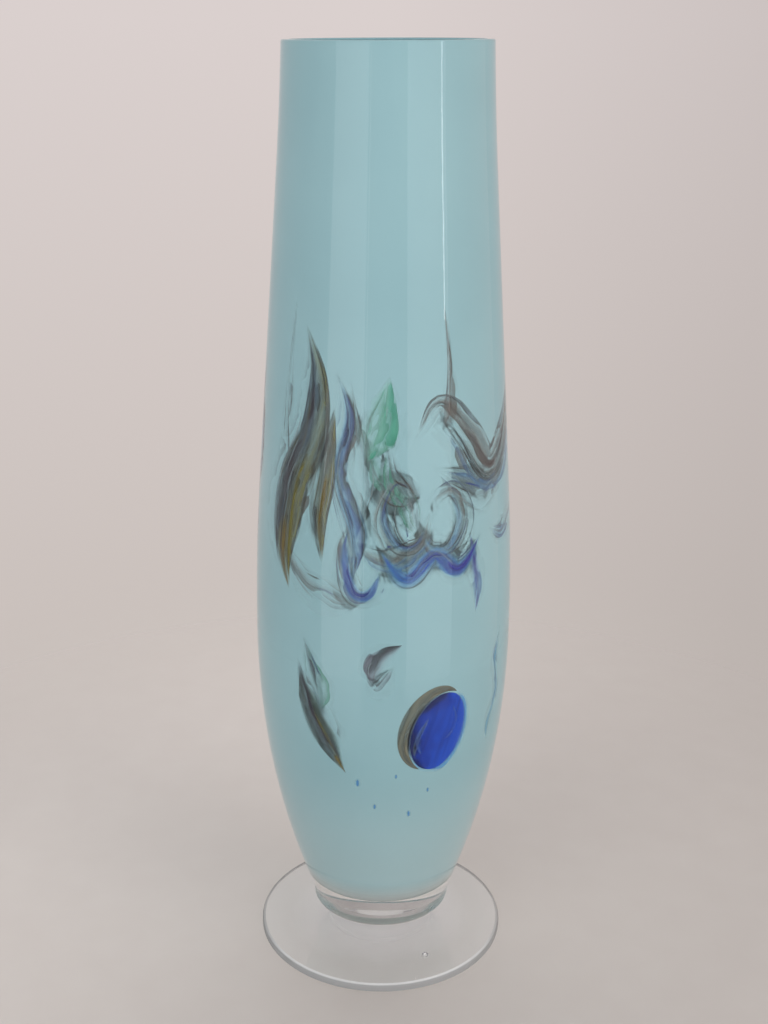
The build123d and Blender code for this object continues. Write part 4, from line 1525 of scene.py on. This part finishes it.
@dataclass
class Decoration:
    """The coloured glass: a band at mid-height and a loose group under it, all round the body."""

    band: float = 197.0
    group: float = 108.0
    bead_span: float = 26.5
    bead_tall: float = 30.0
    bead_below: float = 5.0
    bead_across: int = 20  # steps, as it is broad
    halo_wide: float = 1.13  # shares of the bead's span and height
    halo_tall: float = 1.09
    halo_right: float = 0.7
    halo_below: float = 0.6
    crescent_gap: float = 0.7
    crescent_shift: Pair = (-3.15, 2.1)
    fleck_below: float = 30.0
    fleck_span: float = 34.0
    fleck_tall: float = 26.0
    fleck_size: float = 1.3
    fleck_stretch: float = 1.7  # a fleck's height, as a share of its width
    fleck_along: int = 24  # steps, as it is small
    flecks: Triples = (
        (-0.46, 0.22, 1.0), (-0.24, -0.16, 0.7), (0.02, 0.34, 0.55), (0.20, -0.30, 0.85),
        (0.44, 0.06, 0.6),
    )

    def lay(self, node: str, motif: Motif, azimuth: float, hand: int) -> None:
        """Lay a motif.

        Args:
            node: The node that it stands for.
            motif: The motif.
            azimuth: Degrees from the front, towards the right.
            hand: 1, or -1 for the motif turned the other way.
        """
        height = self.group if motif.low else self.band
        drawn = [(stroke.path(azimuth, height, hand), stroke.strands) for stroke in motif.strokes]
        ColourBit(f"{node}_smear", node, motif.slot, drawn).build()

    def bead_oval(self, azimuth: float, lean: float) -> Oval:
        """Outline of a bead at an azimuth, whose top leans to the left by so many degrees."""
        return Oval(azimuth, self.group - self.bead_below, belly_width(self.bead_span), self.bead_tall, lean)

    def bead(self, node: str, azimuth: float, lean: float) -> None:
        """Lay a rounded cobalt bead with paler swirls inside.

        Args:
            node: The node that it stands for.
            azimuth: Degrees from the front, towards the right.
            lean: Degrees by which its top leans to the left.
        """
        oval = self.bead_oval(azimuth, lean)
        halo_width, halo_tall = belly_width(self.halo_wide * self.bead_span), self.halo_tall * oval.tall
        halo = Oval(azimuth, oval.centre - self.halo_below, halo_width, halo_tall, lean, self.halo_right)
        strands = (
            Strand(BEAD_BLUE, wide=1.03, layer=2),
            Strand(PALE_SWIRL, shift=0.5, wide=0.16, start=0.18, end=0.62, layer=4, bow=0.2),
            Strand(PALE_SWIRL, shift=-0.25, wide=0.1, start=0.4, end=0.85, layer=4, bow=-0.3),
            Strand(DARK_HAIR, shift=0.85, wide=0.1, start=0.1, end=0.7, layer=4, drift=-0.3),
        )
        drawn = [(halo.path(), (Strand(BEAD_HALO),)), (oval.path(), strands)]
        ColourBit(f"{node}_drop", node, "cobalt_glass", drawn, across=self.bead_across).build()

    def crescent(self, node: str, azimuth: float, lean: float) -> None:
        """Lay a khaki crescent that hugs the bead.

        Args:
            node: The node that it stands for.
            azimuth: The bead's degrees from the front, towards the right.
            lean: Degrees by which the bead's top leans to the left.
        """
        path = self.bead_oval(azimuth, lean).crescent(self.crescent_gap, self.crescent_shift)
        strands = (
            Strand(DARK_HAIR, shift=1.6, wide=1.5),
            Strand(KHAKI, wide=1.25, shift=0.12, layer=1),
            Strand(DARK_HAIR, shift=1.3, wide=0.45, start=0.02, end=0.98, layer=2),
            *folds(18, 4, (BROWN_HAIR, PALE_HAIR), layer=2),
        )
        ColourBit(f"{node}_sliver", node, "khaki_glass", [(path, strands)]).build()

    def loose_flecks(self, node: str, azimuth: float) -> None:
        """Lay small loose flecks of blue.

        Args:
            node: The node that they stand for.
            azimuth: Their middle's degrees from the front, towards the right.
        """
        centre, span = self.group - self.fleck_below, belly_width(self.fleck_span)
        drawn = []
        for across, up, size in self.flecks:
            width = 2 * size * self.fleck_size
            height, tall = centre + up * self.fleck_tall, width * self.fleck_stretch
            fleck = Oval(azimuth, height, width, tall, across=across * span)
            drawn.append((fleck.path(), (Strand(FLECK_BLUE),)))
        ColourBit(f"{node}_drops", node, "cobalt_glass", drawn, along=self.fleck_along).build()

    def build(self) -> None:
        """Lay every bit at its place round the body, in degrees from the front."""
        for node, motif, azimuth in (
            ("amber_plume", TALL_PLUME, -42.0),
            ("ink_ribbon", NARROW_RIBBON, -18.0),
            ("emerald_leaf", CLEAR_LEAF, -4.0),
            ("taupe_wave", WIDE_SWAG, 51.0),
            ("cobalt_ripple", LOW_RIPPLE, 23.0),
            ("smoke_haze", SHORT_HAZE, 70.0),
            ("forest_streak", DARK_TONGUE, -30.0),
            ("aubergine_comma", SMALL_COMMA, 0.0),
            ("turquoise_trail", THIN_THREAD, 62.0),
        ):
            self.lay(node, motif, azimuth, 1)
        self.bead("cobalt_bead", 27.0, -14.0)
        self.crescent("khaki_crescent", 27.0, -14.0)
        self.loose_flecks("blue_flecks", 6.0)
        for node, motif, azimuth in (
            ("rear_ink_ribbon", NARROW_RIBBON, -84.0),
            ("rear_taupe_wave", WIDE_SWAG, -136.0),
            ("rear_cobalt_ripple", LOW_RIPPLE, -124.0),
            ("rear_amber_plume", TALL_PLUME, 163.0),
            ("rear_emerald_leaf", CLEAR_LEAF, 122.0),
            ("rear_forest_streak", DARK_TONGUE, 116.0),
        ):
            self.lay(node, motif, azimuth, -1)
        self.bead("rear_cobalt_bead", -146.0, 16.0)


@dataclass(frozen=True)
class Softbox:
    """A soft lamp that the camera doesn't see, aimed at the middle of the vase."""

    name: str
    azimuth: float  # degrees from the front, towards the right
    elevation: float
    distance: float  # metres
    width: float
    height: float
    watts: float
    colour: str = "#ffffff"
    shows_in_gloss: bool = True
    shows_through: bool = False

    def build(self, target: Vector) -> None:
        """Hang the lamp.

        Args:
            target: What it is aimed at.
        """
        data = bpy.data.lights.new(self.name, "AREA")
        data.shape = "RECTANGLE"
        data.size, data.size_y = self.width, self.height
        data.energy = self.watts
        data.color = linear(self.colour)[:3]
        turn, rise = math.radians(self.azimuth), math.radians(self.elevation)
        towards = Vector((math.sin(turn) * math.cos(rise), -math.cos(turn) * math.cos(rise), math.sin(rise)))
        lamp = bpy.data.objects.new(self.name, data)
        lamp.location = target + towards * self.distance
        lamp.rotation_euler = towards.to_track_quat("Z", "Y").to_euler()
        lamp.visible_camera = False
        lamp.visible_glossy = self.shows_in_gloss
        lamp.visible_transmission = self.shows_through
        bpy.context.scene.collection.objects.link(lamp)


@dataclass
class Studio:
    """A plain pale shelf, a plain pale background, soft light and the camera, in metres."""

    aim_height: float = 0.2
    shelf: PaintedShelf = PaintedShelf("pale_emulsion_paint")
    shelf_drop: float = 0.05 * MM
    wall_low: str = "#bdb4af"
    wall_middle: str = "#c8bfba"
    wall_high: str = "#dad0ce"
    wall_from: float = -0.62  # upward share of the eye's line, below which all is wall_low
    wall_share: float = 0.3  # of the way from there to level, where the wall is wall_middle
    wall_through: float = 0.56  # of the wall's light that reaches the eye through the clear base
    through_at: float = 0.12  # upward share at which that is reached
    right_level: float = 0.86  # painted shade: the wall is darker towards the right
    right_at: float = 0.25  # rightward share at which that is reached
    ambient: str = "#f4f2f4"
    ambient_strength: float = 0.53
    camera_place: tuple[float, float, float] = (0.0, -0.4748, 0.3356)
    camera_dip: float = 19.27
    camera_roll: float = 0.49
    camera_lens: float = 49.58
    camera_sensor: float = 36.0
    lamps: tuple[Softbox, ...] = (
        Softbox("key_soft_light", -35.0, 35.0, 1.6, 1.2, 1.2, 3.5, shows_in_gloss=False),
        Softbox("fill_soft_light", 55.0, 20.0, 1.8, 1.2, 1.6, 6.4, "#fff1ea", shows_in_gloss=False),
        Softbox("back_soft_light", 175.0, 55.0, 1.2, 1.2, 0.8, 4.4, shows_in_gloss=False),
        Softbox("back_glint_light", 177.0, 42.0, 1.2, 0.16, 0.04, 0.03, shows_through=True),
        Softbox("left_window_light", -37.0, 0.0, 1.2, 0.78, 2.4, 5.0),
        Softbox("left_slit_light", -17.0, -4.0, 0.9, 0.012, 0.9, 0.03),
        Softbox("right_window_light", 41.0, 0.0, 1.4, 1.06, 2.8, 8.0),
        Softbox("right_slit_light", 57.0, 14.0, 0.9, 0.02, 0.5, 0.18),
        Softbox("right_wall_light", 92.0, 5.0, 1.2, 1.5, 2.4, 2.4, "#ffd2be"),
    )

    def backdrop(self) -> None:
        """Make the plain background, which eyes and gloss see, and the even light of the room."""
        world = bpy.data.worlds.new("plain_room")
        bpy.context.scene.world = world
        world.use_nodes = True
        tree = world.node_tree
        tree.nodes.clear()
        across, _, up = add(tree, "SeparateXYZ", {0: add(tree, "TexCoord").outputs["Generated"]}).outputs
        rise = add(tree, "MapRange", {"Value": up, "From Min": self.wall_from, "From Max": 0.0})
        wall = add(tree, "ValToRGB", {"Fac": rise})
        stops = wall.color_ramp.elements
        for stop, share, code in (
            (stops[0], 0.0, self.wall_low),
            (stops.new(self.wall_share), self.wall_share, self.wall_middle),
            (stops[-1], 1.0, self.wall_high),
        ):
            stop.position, stop.color = share, linear(code)
        aside, above = (
            add(tree, "MapRange", {"Value": way, "From Max": end, "To Min": 1.0, "To Max": least})
            for way, end, least in (
                (across, self.right_at, self.right_level),
                (up, self.through_at, self.wall_through),
            )
        )
        path = add(tree, "LightPath").outputs
        eye, gloss, bent = path["Is Camera Ray"], path["Is Glossy Ray"], path["Is Transmission Ray"]
        through = add(tree, "Mix", {0: bent, 2: 1.0, 3: above}, data_type="FLOAT")
        level = add(tree, "Math", {0: aside, 1: through}, operation="MULTIPLY")
        seen = add(tree, "Background", {"Color": wall, "Strength": level})
        room = add(tree, "Background", {"Color": linear(self.ambient), "Strength": self.ambient_strength})
        indirect = add(tree, "Math", {0: gloss, 1: bent}, operation="MAXIMUM")
        looks = add(tree, "Math", {0: eye, 1: indirect}, operation="MAXIMUM")
        add(tree, "OutputWorld", {"Surface": add(tree, "MixShader", {0: looks, 1: room, 2: seen})})

    def floor(self) -> None:
        """Lay the shelf that the vase stands on."""
        turns = np.linspace(0, math.tau, 96, endpoint=False)
        rim = (self.shelf.clear_to_mm + self.shelf.mottle_mm) * MM
        mesh = bpy.data.meshes.new("pale_shelf")
        points = [(rim * math.cos(t), rim * math.sin(t), -self.shelf_drop) for t in turns]
        mesh.from_pydata(points, [], [tuple(range(len(points)))])
        board = bpy.data.objects.new("pale_shelf", mesh)
        bpy.context.scene.collection.objects.link(board)
        mesh.materials.append(self.shelf.material())

    def camera(self) -> None:
        """Stand the camera where the photograph was taken from."""
        data = bpy.data.cameras.new("camera")
        data.lens, data.sensor_width = self.camera_lens, self.camera_sensor
        seat = bpy.data.objects.new("camera", data)
        dip = Matrix.Rotation(math.radians(90 - self.camera_dip), 4, "X")
        roll = Matrix.Rotation(math.radians(self.camera_roll), 4, "Z")
        seat.matrix_world = Matrix.Translation(self.camera_place) @ dip @ roll
        bpy.context.scene.collection.objects.link(seat)
        bpy.context.scene.camera = seat

    def build(self) -> None:
        """Set up everything round the vase."""
        self.floor()
        self.backdrop()
        self.camera()
        target = Vector((0.0, 0.0, self.aim_height))
        for lamp in self.lamps:
            lamp.build(target)
        bpy.context.scene.view_settings.view_transform = "Standard"


def main() -> None:
    """Build the vase round the frame, then the studio."""
    OpalBubble().build()
    Decoration().build()
    ClearBody().build()
    SpunFoot().build()
    Studio().build()


if __name__ == "__main__":
    main()
